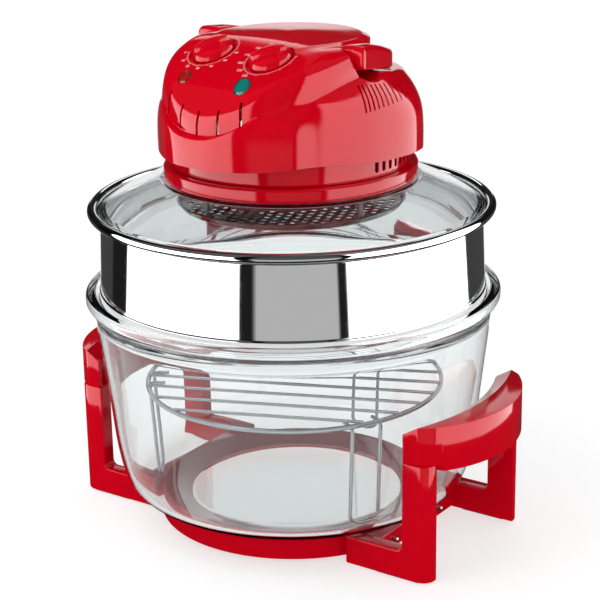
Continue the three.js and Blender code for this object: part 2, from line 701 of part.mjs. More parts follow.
function archCut() {
  const points = [];
  const half = Math.sqrt(cover.archR ** 2 - (cover.archR - cover.archRise) ** 2);
  for (let i = 0; i <= archSteps; i += 1) {
    const y = THREE.MathUtils.lerp(-half, half, i / archSteps);
    const z = cover.bottom + cover.archRise - cover.archR + Math.sqrt(cover.archR ** 2 - y ** 2);
    points.push([y + cover.archCentreY, z]);
  }
  const below = cover.bottom - 2 * overrun;
  points.push([half + cover.archCentreY, below], [cover.archCentreY - half, below]);
  return across(points, 2 * cover.r);
}

function pivotBore(r, start, end) {
  const bore = placed(disc(r, start, end, roundHoleSides).rotate([0, 90, 0]), 0, bail.pivotY, bail.pivotZ);
  return bore.add(bore.mirror([1, 0, 0]));
}

function screwPost(angle) {
  const inside = coverForm(cover.wall / 2).add(disc(cover.r, floorTop, cover.bottom + overrun));
  const column = placed(disc(post.r, floorTop + seatGap, cover.top, roundHoleSides), post.circleR, 0, 0);
  const bore = placed(disc(coverScrew.r + seatGap, floorTop, baseBottom + coverScrew.length + overrun,
    roundHoleSides), post.circleR, 0, 0);
  return spun(column.subtract(bore), angle).intersect(inside);
}

function dialBosses() {
  const boss = disc(dial.wellR + cover.wall, -dial.wellDepth - cover.wall, -cover.wall / 2, dialSides);
  return onPanel(boss, dial.x, dial.y, dialSlope).add(onPanel(boss, -dial.x, dial.y, dialSlope));
}

function dialCuts() {
  const well = disc(dial.wellR, -dial.wellDepth, dial.wellR, dialSides);
  const hole = disc(shaft.r + shaft.holeGap, -dial.wellR, overrun, roundHoleSides);
  const cut = well.add(hole);
  return onPanel(cut, dial.x, dial.y, dialSlope).add(onPanel(cut, -dial.x, dial.y, dialSlope));
}

function lensHole(side, r) {
  return onPanel(disc(r + seatGap, -2 * lens.depth, 2 * lens.depth), side * lens.x, lens.y, lensSlope);
}

function sideRibs() {
  const cuts = [];
  for (let i = 0; i < ribs.count; i += 1) {
    const length = THREE.MathUtils.lerp(ribs.longest, ribs.shortest, i / (ribs.count - 1));
    const top = ribs.top - i * ribs.topStep;
    const half = ribs.width / 2;
    const slot = box(cover.r - ribs.cutDepth, cover.r + overrun, -half, half, top - length, top);
    const angle = THREE.MathUtils.degToRad(ribs.startDeg + ribs.pitchDeg * i);
    cuts.push(spun(slot, angle), spun(slot, Math.PI - angle));
  }
  return joined(cuts);
}

function frontGrille() {
  const cuts = [];
  const inner = cover.hoodFrontR - cover.wall - overrun;
  const top = grille.bottom + grille.height;
  for (let i = 0; i < grille.count; i += 1) {
    const angle = THREE.MathUtils.degToRad(grille.pitchDeg * (i - (grille.count - 1) / 2)) - Math.PI / 2;
    const slot = box(inner, cover.r + overrun, -grille.width / 2, grille.width / 2, grille.bottom, top);
    cuts.push(spun(slot, angle));
  }
  return joined(cuts);
}

function glandHole() {
  const cut = disc(gland.r + seatGap, cover.r - gland.length - overrun, cover.r + overrun);
  return placed(cut.rotate([-90, 0, 0]), 0, 0, gland.z);
}

function plungerHole(r, bottom, top) {
  return placed(disc(r, bottom, top, roundHoleSides), 0, microSwitch.y, 0);
}

function upperCover() {
  let solid = coverForm(0).subtract(coverForm(cover.wall)).subtract(archCut());
  solid = joined([solid, dialBosses(), ...screwAngles.map(screwPost)]);
  const pinHoles = pivotBore(pin.r + seatGap, cover.coreR - 2 * cover.wall, cover.coreR + overrun);
  const coverHoleBottom = bail.backBottom - 2 * microSwitch.height;
  const switchHole = plungerHole(plunger.r + seatGap, coverHoleBottom, bail.frontBottom);
  const cuts = [dialCuts(), lensHole(-1, lens.redR), lensHole(1, lens.greenR), sideRibs(), frontGrille(),
    glandHole(), pinHoles, switchHole];
  return solid.subtract(joined(cuts));
}

piece('upper_cover', upperCover(), 'redPlastic', head);

// Bail handle round the back of the cover, on two pivot pins

const bailSectionShares = [[0, 0.5], [0.24, 0.85], [0.6, 0.9], [0.87, 0.6], [1, 0]];
const bailTopShares = [[0, 1], [0.228, 0.94], [0.51, 0.82], [0.811, 0.49], [1, 0.05]];

function bailHandle() {
  const width = bail.outerR - bail.innerR;
  const low = bail.top - bail.edgeDrop;
  const reach = bail.outerR - bail.frontY;
  const section = bailSectionShares.map(([r, z]) => [bail.innerR + r * width, low + z * bail.edgeDrop]);
  const ring = turned([
    [bail.outerR, bail.backBottom - overrun], [bail.innerR, bail.backBottom - overrun], ...section,
  ]);
  const drop = bail.top - (bail.backBottom + bail.edgeDrop);
  const top = bailTopShares.map(([y, z]) => [bail.frontY + y * reach, bail.top - drop * (1 - z)]);
  const outline = across([
    [bail.frontY, bail.frontBottom], [bail.outerR, bail.backBottom], ...top.reverse(),
  ], bail.outerR);
  const crosswise = disc(bail.noseR, -cover.r, cover.r, noseSides).rotate([0, 90, 0]);
  const nose = placed(crosswise, 0, bail.pivotY, bail.pivotZ);
  const behind = box(-cover.r, cover.r, bail.pivotY, cover.r, bail.backBottom - overrun, bail.top + overrun);
  const pinEnd = cover.coreR + pin.reach + seatGap;
  const bores = pivotBore(pin.r + seatGap, cover.coreR - overrun, pinEnd);
  return ring.intersect(outline).intersect(nose.add(behind)).subtract(bores);
}

piece('bail_handle', bailHandle(), 'redPlastic', head);

function pivotPin() {
  const inside = cover.coreR - cover.wall - pin.headLength - 2 * seatGap;
  const shank = disc(pin.r, inside, cover.coreR + pin.reach, roundHoleSides);
  const headDisc = disc(pin.headR, inside - seatGap, inside + pin.headLength - seatGap, roundHoleSides);
  return placed(shank.add(headDisc).rotate([0, 90, 0]), 0, bail.pivotY, bail.pivotZ);
}

piece('pivot_pin_right', pivotPin(), 'steel', head);
piece('pivot_pin_left', pivotPin().mirror([1, 0, 0]), 'steel', head);

// Controls: two knobs on shafts, the timer and the thermostat under the panel, and two lamp lenses

const bodyTop = -dial.wellDepth - cover.wall - seatGap;

function knobSolid() {
  const bottom = knob.lift - dial.wellDepth;
  const top = bottom + knob.skirtHeight;
  let solid = turned([[0, bottom], [knob.skirtR, bottom], [knob.crownR, top], [0, top]], dialSides);
  const grip = new THREE.Shape();
  const half = (knob.gripLength - knob.gripWidth) / 2;
  grip.absarc(half, 0, knob.gripWidth / 2, -Math.PI / 2, Math.PI / 2, false);
  grip.absarc(-half, 0, knob.gripWidth / 2, Math.PI / 2, (3 * Math.PI) / 2, false);
  solid = solid.add(raised(grip, bottom, top + knob.gripRise));
  return solid.subtract(disc(shaft.r + seatGap, bottom - overrun, bottom + knob.boreDepth, roundHoleSides));
}

function shaftSolid() {
  const top = knob.lift - dial.wellDepth + knob.boreDepth - seatGap;
  return disc(shaft.r, bodyTop + seatGap, top, roundHoleSides);
}

function controlBody() {
  const [w, d] = [control.width / 2, control.depth / 2];
  return box(-w, w, -d, d, bodyTop - control.height, bodyTop);
}

for (const [name, side] of [['timer', -1], ['thermostat', 1]]) {
  const place = [side * dial.x, dial.y, dialSlope];
  piece(`${name}_knob`, onPanel(knobSolid(), ...place), 'redPlastic', head);
  piece(`${name}_shaft`, onPanel(shaftSolid(), ...place), 'steel', head);
  piece(`${name}_body`, onPanel(controlBody(), ...place), 'blackPlastic', head);
}
for (const [name, side, r] of [['red', -1, lens.redR], ['green', 1, lens.greenR]]) {
  const solid = onPanel(disc(r, -lens.depth, lens.stand), side * lens.x, lens.y, lensSlope);
  piece(`${name}_lens`, solid, `${name}Lens`, head);
}

// Motor on its bracket, with a cooling fan above and the hot-air fan below

const shaftBoreR = motor.shaftR + seatGap;

function motorBody() {
  const top = motor.bottom + motor.height;
  return turned([
    [shaftBoreR, motor.bottom], [motor.r, motor.bottom], [motor.r, top], [motor.bossR, top],
    [motor.bossR, top + motor.bossHeight], [shaftBoreR, top + motor.bossHeight],
  ], fanSteps);
}

function motorBracket() {
  const top = motor.bottom - seatGap;
  const bottom = top - bracket.thickness;
  let solid = turned(ringPoints(bracket.holeR, bracket.plateR, bottom, top), fanSteps);
  const half = bracket.legWidth / 2;
  const arm = box(bracket.plateR - overrun, bracket.legR, -half, half, bottom, top).add(
    box(bracket.legR - bracket.legThickness, bracket.legR, -half, half, floorTop + seatGap, top));
  for (let i = 0; i < bracket.legCount; i += 1) {
    solid = solid.add(spun(arm, Math.PI / 2 + (2 * Math.PI * i) / bracket.legCount));
  }
  return solid;
}

function fanWheel(fan) {
  let solid = turned(ringPoints(shaftBoreR, fan.hubR, fan.bottom, fan.bottom + fan.height), smallSteps);
  const innerR = shaftBoreR + (fan.hubR - shaftBoreR) / 2;
  solid = solid.add(turned(ringPoints(innerR, fan.r, fan.bottom, fan.bottom + fan.plate), fanSteps));
  const half = fan.blade / 2;
  const blade = box(innerR, fan.r - fan.blade, -half, half, fan.bottom, fan.bottom + fan.height);
  for (let i = 0; i < fan.blades; i += 1) solid = solid.add(spun(blade, (2 * Math.PI * i) / fan.blades));
  return solid;
}

const shaftTop = coolingFan.bottom + coolingFan.height + overrun;
piece('motor_body', motorBody(), 'aluminium', head);
piece('motor_bracket', motorBracket(), 'darkSteel', head);
piece('motor_shaft', disc(motor.shaftR, airFan.bottom - overrun, shaftTop), 'steel', head);
piece('cooling_fan', fanWheel(coolingFan), 'aluminium', head);
piece('air_fan', fanWheel(airFan), 'aluminium', head);

// Heater under the lid: reflector, ring lamp in its holders, and the perforated guard on standoffs

const reflectorTop = baseBottom - seatGap;
const reflectorBottom = reflectorTop - reflector.thickness;
const hangTop = reflectorBottom - seatGap;

function reflectorPlate() {
  const lipR = reflector.r - reflector.thickness;
  return turned([
    [reflector.shaftHoleR, reflectorBottom], [lipR, reflectorBottom], [lipR, reflectorTop - reflector.lip],
    [reflector.r, reflectorTop - reflector.lip], [reflector.r, reflectorTop],
    [reflector.shaftHoleR, reflectorTop],
  ], plainSteps);
}

class LampArc extends THREE.Curve {
  getPoint(t, target = new THREE.Vector3()) {
    const angle = THREE.MathUtils.degToRad(lamp.gapAtDeg + lamp.gapDeg / 2 + t * (360 - lamp.gapDeg));
    return target.set(lamp.r * Math.cos(angle), lamp.r * Math.sin(angle), lamp.z);
  }
}

function lampHolder(side) {
  const half = holder.width / 2;
  const near = side * seatGap;
  const far = side * (seatGap + holder.length);
  const angle = THREE.MathUtils.degToRad(lamp.gapAtDeg + (side * -lamp.gapDeg) / 2);
  const block = box(lamp.r - half, lamp.r + half, Math.min(near, far), Math.max(near, far),
    lamp.z - holder.drop, hangTop);
  return spun(block, angle);
}

function lampClip() {
  const half = clip.width / 2;
  const halfLength = clip.length / 2;
  const angle = THREE.MathUtils.degToRad(lamp.gapAtDeg) + Math.PI;
  const grip = box(lamp.r - half, lamp.r + half, -halfLength, halfLength, lamp.z - clip.hold, hangTop);
  const hole = disc(lamp.tubeR + clip.gap, -clip.length, clip.length).rotate([90, 0, 0]);
  return spun(grip.subtract(placed(hole, lamp.r, 0, lamp.z)), angle);
}

function guardDish() {
  const { rimR, rimTop, sheet, bottom, flatR } = guard;
  const top = bottom + sheet;
  const dish = turned([
    [0, bottom], [flatR, bottom], [rimR, rimTop - sheet], [rimR, rimTop],
    [rimR - sheet, rimTop], [flatR - sheet, top], [0, top],
  ]);
  const hole = disc(guard.holeR, bottom - overrun, top + overrun, guard.holeSides);
  const cuts = [];
  for (let ring = 0; ring < guard.rings; ring += 1) {
    const count = guard.holesPerRing * (ring + 2);
    const first = placed(hole, guard.firstR + ring * guard.ringPitch, 0, 0);
    for (let i = 0; i < count; i += 1) cuts.push(spun(first, (2 * Math.PI * (i + ring / 2)) / count));
  }
  return dish.subtract(joined(cuts));
}

piece('reflector_plate', reflectorPlate(), 'steel', head);
piece('halogen_lamp', wire(new LampArc(), lamp.tubeR, lampSteps, roundHoleSides), 'quartz', head);
piece('lamp_holder_1', lampHolder(-1), 'ceramic', head);
piece('lamp_holder_2', lampHolder(1), 'ceramic', head);
piece('lamp_clip', lampClip(), 'steel', head);
piece('guard_dish', guardDish(), 'steel', head);
for (let i = 0; i < standoff.count; i += 1) {
  const column = disc(standoff.r, guard.bottom + guard.sheet + seatGap, hangTop, roundHoleSides);
  const angle = THREE.MathUtils.degToRad(standoff.startDeg) + (2 * Math.PI * i) / standoff.count;
  piece(`standoff_${i + 1}`, spun(placed(column, standoff.circleR, 0, 0), angle), 'steel', head);
}

// Electrical pieces and fasteners inside the cover

const switchTop = bailBottomZ(microSwitch.y + microSwitch.width / 2) - bail.ledgeGap - cover.wall - seatGap;

function switchBody() {
  const [l, w] = [microSwitch.length / 2, microSwitch.width / 2];
  const body = placed(box(-l, l, -w, w, switchTop - microSwitch.height, switchTop), 0, microSwitch.y, 0);
  return body.subtract(plungerHole(plunger.r + seatGap, switchTop - microSwitch.socket, switchTop + overrun));
}

function terminalBlock() {
  const [l, w] = [terminal.length / 2, terminal.width / 2];
  const bottom = floorTop + seatGap;
  return placed(box(-l, l, -w, w, bottom, bottom + terminal.height), 0, terminal.y, 0);
}

function cordGland() {
  const inner = cover.r - gland.length;
  const bush = turned([
    [gland.boreR, inner], [gland.r, inner], [gland.r, cover.r], [gland.flangeR, cover.r],
    [gland.flangeR, cover.r + gland.flange], [gland.boreR, cover.r + gland.flange],
  ], smallSteps);
  return placed(bush.rotate([-90, 0, 0]), 0, 0, gland.z);
}

const plungerTop = bailBottomZ(microSwitch.y + plunger.r) - seatGap;
piece('micro_switch', switchBody(), 'blackPlastic', head);
piece('switch_plunger', plungerHole(plunger.r, switchTop - microSwitch.socket + seatGap, plungerTop),
  'redPlastic', head);
piece('terminal_block', terminalBlock(), 'ceramic', head);
piece('cord_gland', cordGland(), 'blackPlastic', head);
screwAngles.forEach((angle, i) => {
  const screw = disc(coverScrew.headR, baseBottom, baseBottom + coverScrew.headHeight, roundHoleSides).add(
    disc(coverScrew.r, baseBottom, baseBottom + coverScrew.length, roundHoleSides));
  piece(`cover_screw_${i + 1}`, spun(placed(screw, post.circleR, 0, 0), angle), 'steel', head);
});

export default oven;
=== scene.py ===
# Halogen oven: glass bowl on a red stand, steel ring, glass lid with the heater head
import math
from functools import partial

import bpy
import numpy as np
from mathutils import Matrix, Quaternion, Vector
from mathutils.bvhtree import BVHTree


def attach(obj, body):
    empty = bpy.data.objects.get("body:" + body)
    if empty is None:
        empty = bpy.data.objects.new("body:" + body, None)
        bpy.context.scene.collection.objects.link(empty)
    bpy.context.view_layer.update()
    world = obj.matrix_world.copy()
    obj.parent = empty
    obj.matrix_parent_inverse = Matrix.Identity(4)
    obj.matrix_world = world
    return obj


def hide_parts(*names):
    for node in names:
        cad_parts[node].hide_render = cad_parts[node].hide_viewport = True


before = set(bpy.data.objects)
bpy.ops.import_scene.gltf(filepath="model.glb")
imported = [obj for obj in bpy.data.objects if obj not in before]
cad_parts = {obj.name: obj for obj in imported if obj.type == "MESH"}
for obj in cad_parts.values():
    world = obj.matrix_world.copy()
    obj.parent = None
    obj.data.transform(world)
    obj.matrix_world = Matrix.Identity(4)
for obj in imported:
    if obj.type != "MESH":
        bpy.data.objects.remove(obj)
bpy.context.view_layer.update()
mm = 0.001
headTurn = math.radians(-8.5)  # the lid was set down a little turned on its round seat
print("frame loaded,", len(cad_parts), "nodes")


# small helpers for nodes, outlines and meshes

def srgb(code):  # sRGB hex to the linear colour that a socket takes
    parts = [int(code[i:i + 2], 16) / 255 for i in (1, 3, 5)]
    return (*[p / 12.92 if p <= 0.04045 else ((p + 0.055) / 1.055) ** 2.4 for p in parts], 1.0)


def addNode(tree, kind, inputs=(), **settings):  # inputs by name or in order: values, sockets or nodes
    node = tree.nodes.new(kind)
    for key, value in settings.items():
        setattr(node, key, value)
    for key, value in inputs.items() if isinstance(inputs, dict) else enumerate(inputs):
        if isinstance(value, bpy.types.Node):
            value = value.outputs[0]
        if isinstance(value, bpy.types.NodeSocket):
            tree.links.new(value, node.inputs[key])
        else:
            node.inputs[key].default_value = value
    return node


def newMaterial(name, **values):  # a Principled material, and the parts that a pattern is tied to
    material = bpy.data.materials.new(name)
    material.use_nodes = True
    tree = material.node_tree
    tree.nodes.clear()
    shader = addNode(tree, "ShaderNodeBsdfPrincipled", values)
    addNode(tree, "ShaderNodeOutputMaterial", {"Surface": shader})
    place = addNode(tree, "ShaderNodeTexCoord").outputs["Object"]
    return material, tree, shader, place


def newTree(name, **inputs):  # a Geometry Nodes tree with its named inputs
    tree = bpy.data.node_groups.new(name, "GeometryNodeTree")
    for way in ("INPUT", "OUTPUT"):
        tree.interface.new_socket("Geometry", in_out=way, socket_type="NodeSocketGeometry")
    for key, kind in inputs.items():
        tree.interface.new_socket(key.replace("_", " "), in_out="INPUT", socket_type=f"NodeSocket{kind}")
    return tree, addNode(tree, "NodeGroupInput").outputs


def endTree(tree, geometry, finish):  # instances made real and the finish set
    real = addNode(tree, "GeometryNodeRealizeInstances", (geometry,))
    dressed = addNode(tree, "GeometryNodeSetMaterial", {"Geometry": real, "Material": finish})
    addNode(tree, "NodeGroupOutput", (dressed,))
    return tree


def rounded(points, closed=True, steps=5):  # (x, y, corner radius) points to one smooth outline
    out = []
    for i, point in enumerate(points):
        x, y, r = point if len(point) == 3 else (*point, 0)
        if r == 0 or (not closed and i in (0, len(points) - 1)):
            out.append((x, y))
            continue
        here = np.array((x, y), float)
        back = np.array(points[i - 1][:2], float) - here
        ahead = np.array(points[(i + 1) % len(points)][:2], float) - here
        lengths = np.linalg.norm(back), np.linalg.norm(ahead)
        back, ahead = back / lengths[0], ahead / lengths[1]
        half = math.acos(np.clip(back @ ahead, -1, 1)) / 2
        if half > math.pi / 2 - 0.01:
            out.append((x, y))
            continue
        cut = min(r / math.tan(half), 0.48 * lengths[0], 0.48 * lengths[1])
        real = cut * math.tan(half)
        middle = here + (back + ahead) / np.linalg.norm(back + ahead) * real / math.sin(half)
        start, end = here + back * cut - middle, here + ahead * cut - middle
        turn = math.pi - 2 * half
        for k in range(steps + 1):
            a = turn * k / steps
            p = (math.sin(turn - a) * start + math.sin(a) * end) / math.sin(turn)
            out.append(tuple(middle + p))
    return out


def smoothLine(points, steps=8):  # a smooth line through the points
    p = np.array(points, float)
    p = np.vstack([2 * p[0] - p[1], p, 2 * p[-1] - p[-2]])
    out = []
    for i in range(1, len(p) - 2):
        a, b, c, d = p[i - 1:i + 3]
        t = np.cumsum([0] + [math.sqrt(np.linalg.norm(q - r)) for q, r in ((b, a), (c, b), (d, c))])
        for s in np.linspace(t[1], t[2], steps, endpoint=False):
            u = [((t[k + 1] - s) * q + (s - t[k]) * r) / (t[k + 1] - t[k])
                 for k, (q, r) in enumerate(((a, b), (b, c), (c, d)))]
            v = [((t[k + 2] - s) * u[k] + (s - t[k]) * u[k + 1]) / (t[k + 2] - t[k]) for k in (0, 1)]
            out.append(tuple(((t[2] - s) * v[0] + (s - t[1]) * v[1]) / (t[2] - t[1])))
    out.append(tuple(p[-2]))
    return out


def arc(cx, cy, r, start, end, steps=12):  # points on an arc, angles in degrees
    return [(cx + r * math.cos(a), cy + r * math.sin(a))
            for a in np.radians(np.linspace(start, end, steps + 1))]


def finished(obj):  # the object's modifiers made into its mesh
    graph = bpy.context.evaluated_depsgraph_get()
    mesh = bpy.data.meshes.new_from_object(obj.evaluated_get(graph), depsgraph=graph)
    obj.modifiers.clear()
    obj.data = mesh
    return obj


def meshObject(name, verts, faces, head=False):  # vertices in mm, faces turned outwards
    verts = np.asarray(verts, float) * mm
    if head:
        c, s = math.cos(headTurn), math.sin(headTurn)
        verts = verts @ np.array([[c, s, 0], [-s, c, 0], [0, 0, 1]])
    mesh = bpy.data.meshes.new(name)
    mesh.from_pydata(verts.tolist(), [], [tuple(int(i) for i in f) for f in faces])
    mesh.validate()
    mesh.calc_loop_triangles()
    tris = np.empty(len(mesh.loop_triangles) * 3, np.int32)
    mesh.loop_triangles.foreach_get("vertices", tris)
    a, b, c = verts[tris.reshape(-1, 3)].transpose(1, 0, 2)
    if np.einsum("ij,ij->i", a, np.cross(b, c)).sum() < 0:
        mesh.flip_normals()
    obj = bpy.data.objects.new(name, mesh)
    bpy.context.scene.collection.objects.link(obj)
    return obj


def gridFaces(rows, columns, closeRows=False, start=0):  # quads between rows of points that go round
    faces = []
    for i in range(rows if closeRows else rows - 1):
        a, b = start + i * columns, start + (i + 1) % rows * columns
        faces += [(a + j, a + (j + 1) % columns, b + (j + 1) % columns, b + j) for j in range(columns)]
    return faces


# a closed outline of (r, z) turned round the Z axis; one that starts at r 0 also ends there
def lathe(name, outline, steps=192, head=False):
    onAxis = outline[0][0] < 1e-6
    body = outline[1:-1] if onAxis else outline
    angles = np.linspace(0, 2 * math.pi, steps, endpoint=False)
    verts = [(r * math.cos(a), r * math.sin(a), z) for r, z in body for a in angles]
    faces = gridFaces(len(body), steps, closeRows=not onAxis)
    if onAxis:
        verts += [(0, 0, outline[0][1]), (0, 0, outline[-1][1])]
        n, last = len(verts), (len(body) - 1) * steps
        faces += [((j + 1) % steps, j, n - 2) for j in range(steps)]
        faces += [(last + j, last + (j + 1) % steps, n - 1) for j in range(steps)]
    return meshObject(name, verts, faces, head)


def prism(name, outline, low, high, axis="z", head=False):  # a flat outline drawn out along z or y
    n = len(outline)
    verts = [(u, v, w) if axis == "z" else (u, w, v) for w in (low, high) for u, v in outline]
    faces = [tuple(range(n)), tuple(range(2 * n - 1, n - 1, -1))]
    faces += [(j, n + j, n + (j + 1) % n, (j + 1) % n) for j in range(n)]
    return meshObject(name, verts, faces, head)


def loft(name, sections, head=False, closed=False):  # closed sections of equal point count, in order
    n = len(sections[0])
    verts = [p for section in sections for p in section]
    faces = gridFaces(len(sections), n, closeRows=closed)
    if not closed:
        faces += [tuple(range(n - 1, -1, -1)), tuple(range(len(verts) - n, len(verts)))]
    return meshObject(name, verts, faces, head)


def carve(base, others, operation="DIFFERENCE"):  # boolean with other objects, which are used up
    for other in others:
        step = base.modifiers.new("carve", "BOOLEAN")
        step.operation, step.object, step.solver = operation, other, "MANIFOLD"
    finished(base)
    for other in others:
        bpy.data.objects.remove(other)
    return base


def softened(obj, width, segments=3, angle=35):  # rounded edges with clean flats beside them
    step = obj.modifiers.new("edge", "BEVEL")
    step.width, step.segments, step.limit_method = width * mm, segments, "ANGLE"
    step.angle_limit = math.radians(angle)
    step.miter_outer = "MITER_ARC"
    return finished(obj)


# finish, shading, body, slot and the nodes that a piece stands for
def dress(obj, material, body, nodes=(), angle=32, flat=False):
    mesh = obj.data
    mesh.materials.clear()
    mesh.materials.append(material)
    for poly in mesh.polygons:
        poly.material_index = 0
    if flat:
        mesh.shade_flat()
    else:
        mesh.shade_smooth()
        mesh.set_sharp_from_angle(angle=math.radians(angle))
    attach(obj, body)
    if nodes:
        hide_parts(*nodes)
    return obj


def evenShading(obj):  # flats stay flat beside rounded edges
    step = obj.modifiers.new("shade", "WEIGHTED_NORMAL")
    step.keep_sharp = True
    step.weight = 90
    return finished(obj)


# camera: 105 mm lens, a little above the lid, looking at the front right

cameraView = {"eye": (787.7, -1125.0, 630.2), "target": (0, 0, 182.66), "lens": 104.93, "roll": -0.018,
              "shift": 0.01116}
cameraData = bpy.data.cameras.new("camera")
cameraData.lens, cameraData.sensor_width, cameraData.sensor_fit = cameraView["lens"], 36, "HORIZONTAL"
cameraData.shift_x = cameraView["shift"]
camera = bpy.data.objects.new("camera", cameraData)
camera.location = Vector(cameraView["eye"]) * mm
aim = (Vector(cameraView["target"]) * mm - camera.location).to_track_quat("-Z", "Y")
camera.rotation_euler = (aim @ Quaternion((0, 0, 1), cameraView["roll"])).to_euler()
bpy.context.scene.collection.objects.link(camera)
bpy.context.scene.camera = camera
bpy.context.scene.view_settings.view_transform = "Standard"


# studio: white sweep, two tall soft boxes left and right, thin dark gaps beside them

studio = {
    "cameraTurn": 55, "topLight": 5.0, "topSize": 0.9, "topPlace": (-0.35, -0.55, 1.25), "topAim": (0, 0, 0.15),
    "front": 0.6, "gap": 0.015, "side": 0.06,  # brightness of the plain zones
    # where a zone fades as the look rises: from, to, brightness before and after
    "fades": {"leftBox": (0.29, 0.35, 4.4, 0.12), "rightBox": (0.63, 0.70, 4.4, 0.25),
              "plain": (-0.2, 0.05, 1, 0.15), "backLow": (0.12, 0.15, 1, 0.02),
              "backOpen": (0.36, 0.38, 0, 1.5), "backHigh": (0.40, 0.68, 1, 0.1), "even": (0.2, 0.8, 1, 0.7)}}


def makeWorld():
    world = bpy.data.worlds.new("studio")
    bpy.context.scene.world = world
    world.use_nodes = True
    tree = world.node_tree
    tree.nodes.clear()
    node = partial(addNode, tree)
    ray = node("ShaderNodeLightPath").outputs
    look = node("ShaderNodeTexCoord").outputs["Generated"]
    turned = node("ShaderNodeMapping", {"Vector": look, "Rotation": (0, 0, math.radians(studio["cameraTurn"]))})
    around = node("ShaderNodeTexGradient", (turned,), gradient_type="RADIAL").outputs[1]
    bands = node("ShaderNodeValToRGB", (around,))
    box, back = (1, 0, 0), (0, 0, 1)
    front, gap, side = [(0, studio[key], 0) for key in ("front", "gap", "side")]
    # degrees round from the camera, then red for the soft boxes, green for the plain level, blue for the back
    stops = [(-180, back), (-166, back), (-163, side), (-134, side), (-133, gap), (-114.5, gap), (-113.5, box),
             (-32.5, box), (-31.7, gap), (-22.8, gap), (-22, front), (25.6, front), (26.4, gap), (31.8, gap),
             (32.6, box), (123.5, box), (124.5, side), (163, side), (166, back), (180, back)]
    steps = bands.color_ramp.elements
    while len(steps) > 1:
        steps.remove(steps[0])
    for i, (degrees, colour) in enumerate(stops):
        spot = degrees / 360 + 0.5
        stop = steps.new(spot) if i else steps[0]
        stop.position, stop.color = spot, (*colour, 1)
    part = node("ShaderNodeSeparateColor", (bands,)).outputs
    height = node("ShaderNodeSeparateXYZ", (look,)).outputs[2]
    fade = {key: node("ShaderNodeMapRange", (height, *values), interpolation_type="SMOOTHSTEP")
            for key, values in studio["fades"].items()}
    onLeft = node("ShaderNodeMath", (around, 0.5), operation="LESS_THAN")
    boxFade = node("ShaderNodeMix", {0: onLeft, 2: fade["rightBox"], 3: fade["leftBox"]})
    boxes = node("ShaderNodeMath", (part[0], boxFade), operation="MULTIPLY")
    backdrop = node("ShaderNodeMath", (fade["backOpen"], fade["backHigh"], fade["backLow"]),
                    operation="MULTIPLY_ADD")
    mirrored = node("ShaderNodeMath", (part[1], fade["plain"], boxes), operation="MULTIPLY_ADD")
    mirrored = node("ShaderNodeMath", (part[2], backdrop, mirrored), operation="MULTIPLY_ADD")
    inGloss = node("ShaderNodeMath", (ray["Is Glossy Ray"], ray["Is Transmission Ray"]), operation="SUBTRACT",
                   use_clamp=True)
    level = node("ShaderNodeMix", {0: inGloss, 2: fade["even"], 3: mirrored})
    level = node("ShaderNodeMath", (level, ray["Is Camera Ray"]), operation="MAXIMUM")
    node("ShaderNodeOutputWorld", (node("ShaderNodeBackground", {"Color": (1, 1, 1, 1), "Strength": level}),))


makeWorld()

lampData = bpy.data.lights.new("topLight", "AREA")
lampData.energy, lampData.size = studio["topLight"], studio["topSize"]
topLamp = bpy.data.objects.new("topLight", lampData)
topLamp.location = studio["topPlace"]
topLamp.rotation_euler = (Vector(studio["topAim"]) - topLamp.location).to_track_quat("-Z", "Y").to_euler()
topLamp.visible_glossy = False
bpy.context.scene.collection.objects.link(topLamp)

# opal acrylic lit from below, as on a product table: pale and even, with weak shadows
opal = newMaterial("opalAcrylic", **{"Roughness": 0.75, "Base Color": srgb("#bcbcbc"),
                                     "Emission Color": (1, 1, 1, 1), "Emission Strength": 0.62})[0]
# black board round the object, which only its reflections show
boardPaint = newMaterial("blackBoard", **{"Roughness": 1.0, "Base Color": srgb("#101010")})[0]
floorShape = {"half": 3000, "low": -8, "top": -0.2, "boardR": 500, "boardLow": -0.1}


def makeFloor():
    v = floorShape
    half = v["half"]
    square = [(-half, -half), (half, -half), (half, half), (-half, half)]
    floorPiece = prism("floor", square, v["low"], v["top"])
    floorPiece.data.materials.append(opal)
    floorPiece.visible_glossy = False
    disc = [(0, v["boardLow"]), (v["boardR"], v["boardLow"]), (v["boardR"], 0), (0, 0)]
    board = lathe("blackBoard", disc, 96)
    board.data.materials.append(boardPaint)
    board.visible_camera = board.visible_diffuse = board.visible_transmission = board.visible_shadow = False


makeFloor()
print("camera, light and floor")


# finishes, each named for what the real one is made of

noiseRange = 0.25, 0.75  # nearly all of a noise lies between these


def noiseAt(tree, place, sizeMm, detail=2.0, stretch=(1, 1, 1)):  # noise whose cells are sizeMm across
    scale = [s / (sizeMm * mm) for s in stretch]
    scaled = addNode(tree, "ShaderNodeMapping", {"Vector": place, "Scale": scale})
    return addNode(tree, "ShaderNodeTexNoise", {"Vector": scaled, "Scale": 1.0, "Detail": detail})


def texture(tree, shader, rough, low, high, bumps, depthMm, strength):  # patterns as roughness and as bumps
    spread = addNode(tree, "ShaderNodeMapRange", (rough, *noiseRange, low, high))
    relief = addNode(tree, "ShaderNodeBump", {"Strength": strength, "Distance": depthMm * mm, "Height": bumps})
    tree.links.new(spread.outputs[0], shader.inputs["Roughness"])
    tree.links.new(relief.outputs[0], shader.inputs["Normal"])


def twoTones(tree, shader, pattern, first, second):  # a base colour that drifts between two tones
    mix = addNode(tree, "ShaderNodeMix", {0: pattern, 6: srgb(first), 7: srgb(second)}, data_type="RGBA")
    tree.links.new(mix.outputs[2], shader.inputs["Base Color"])


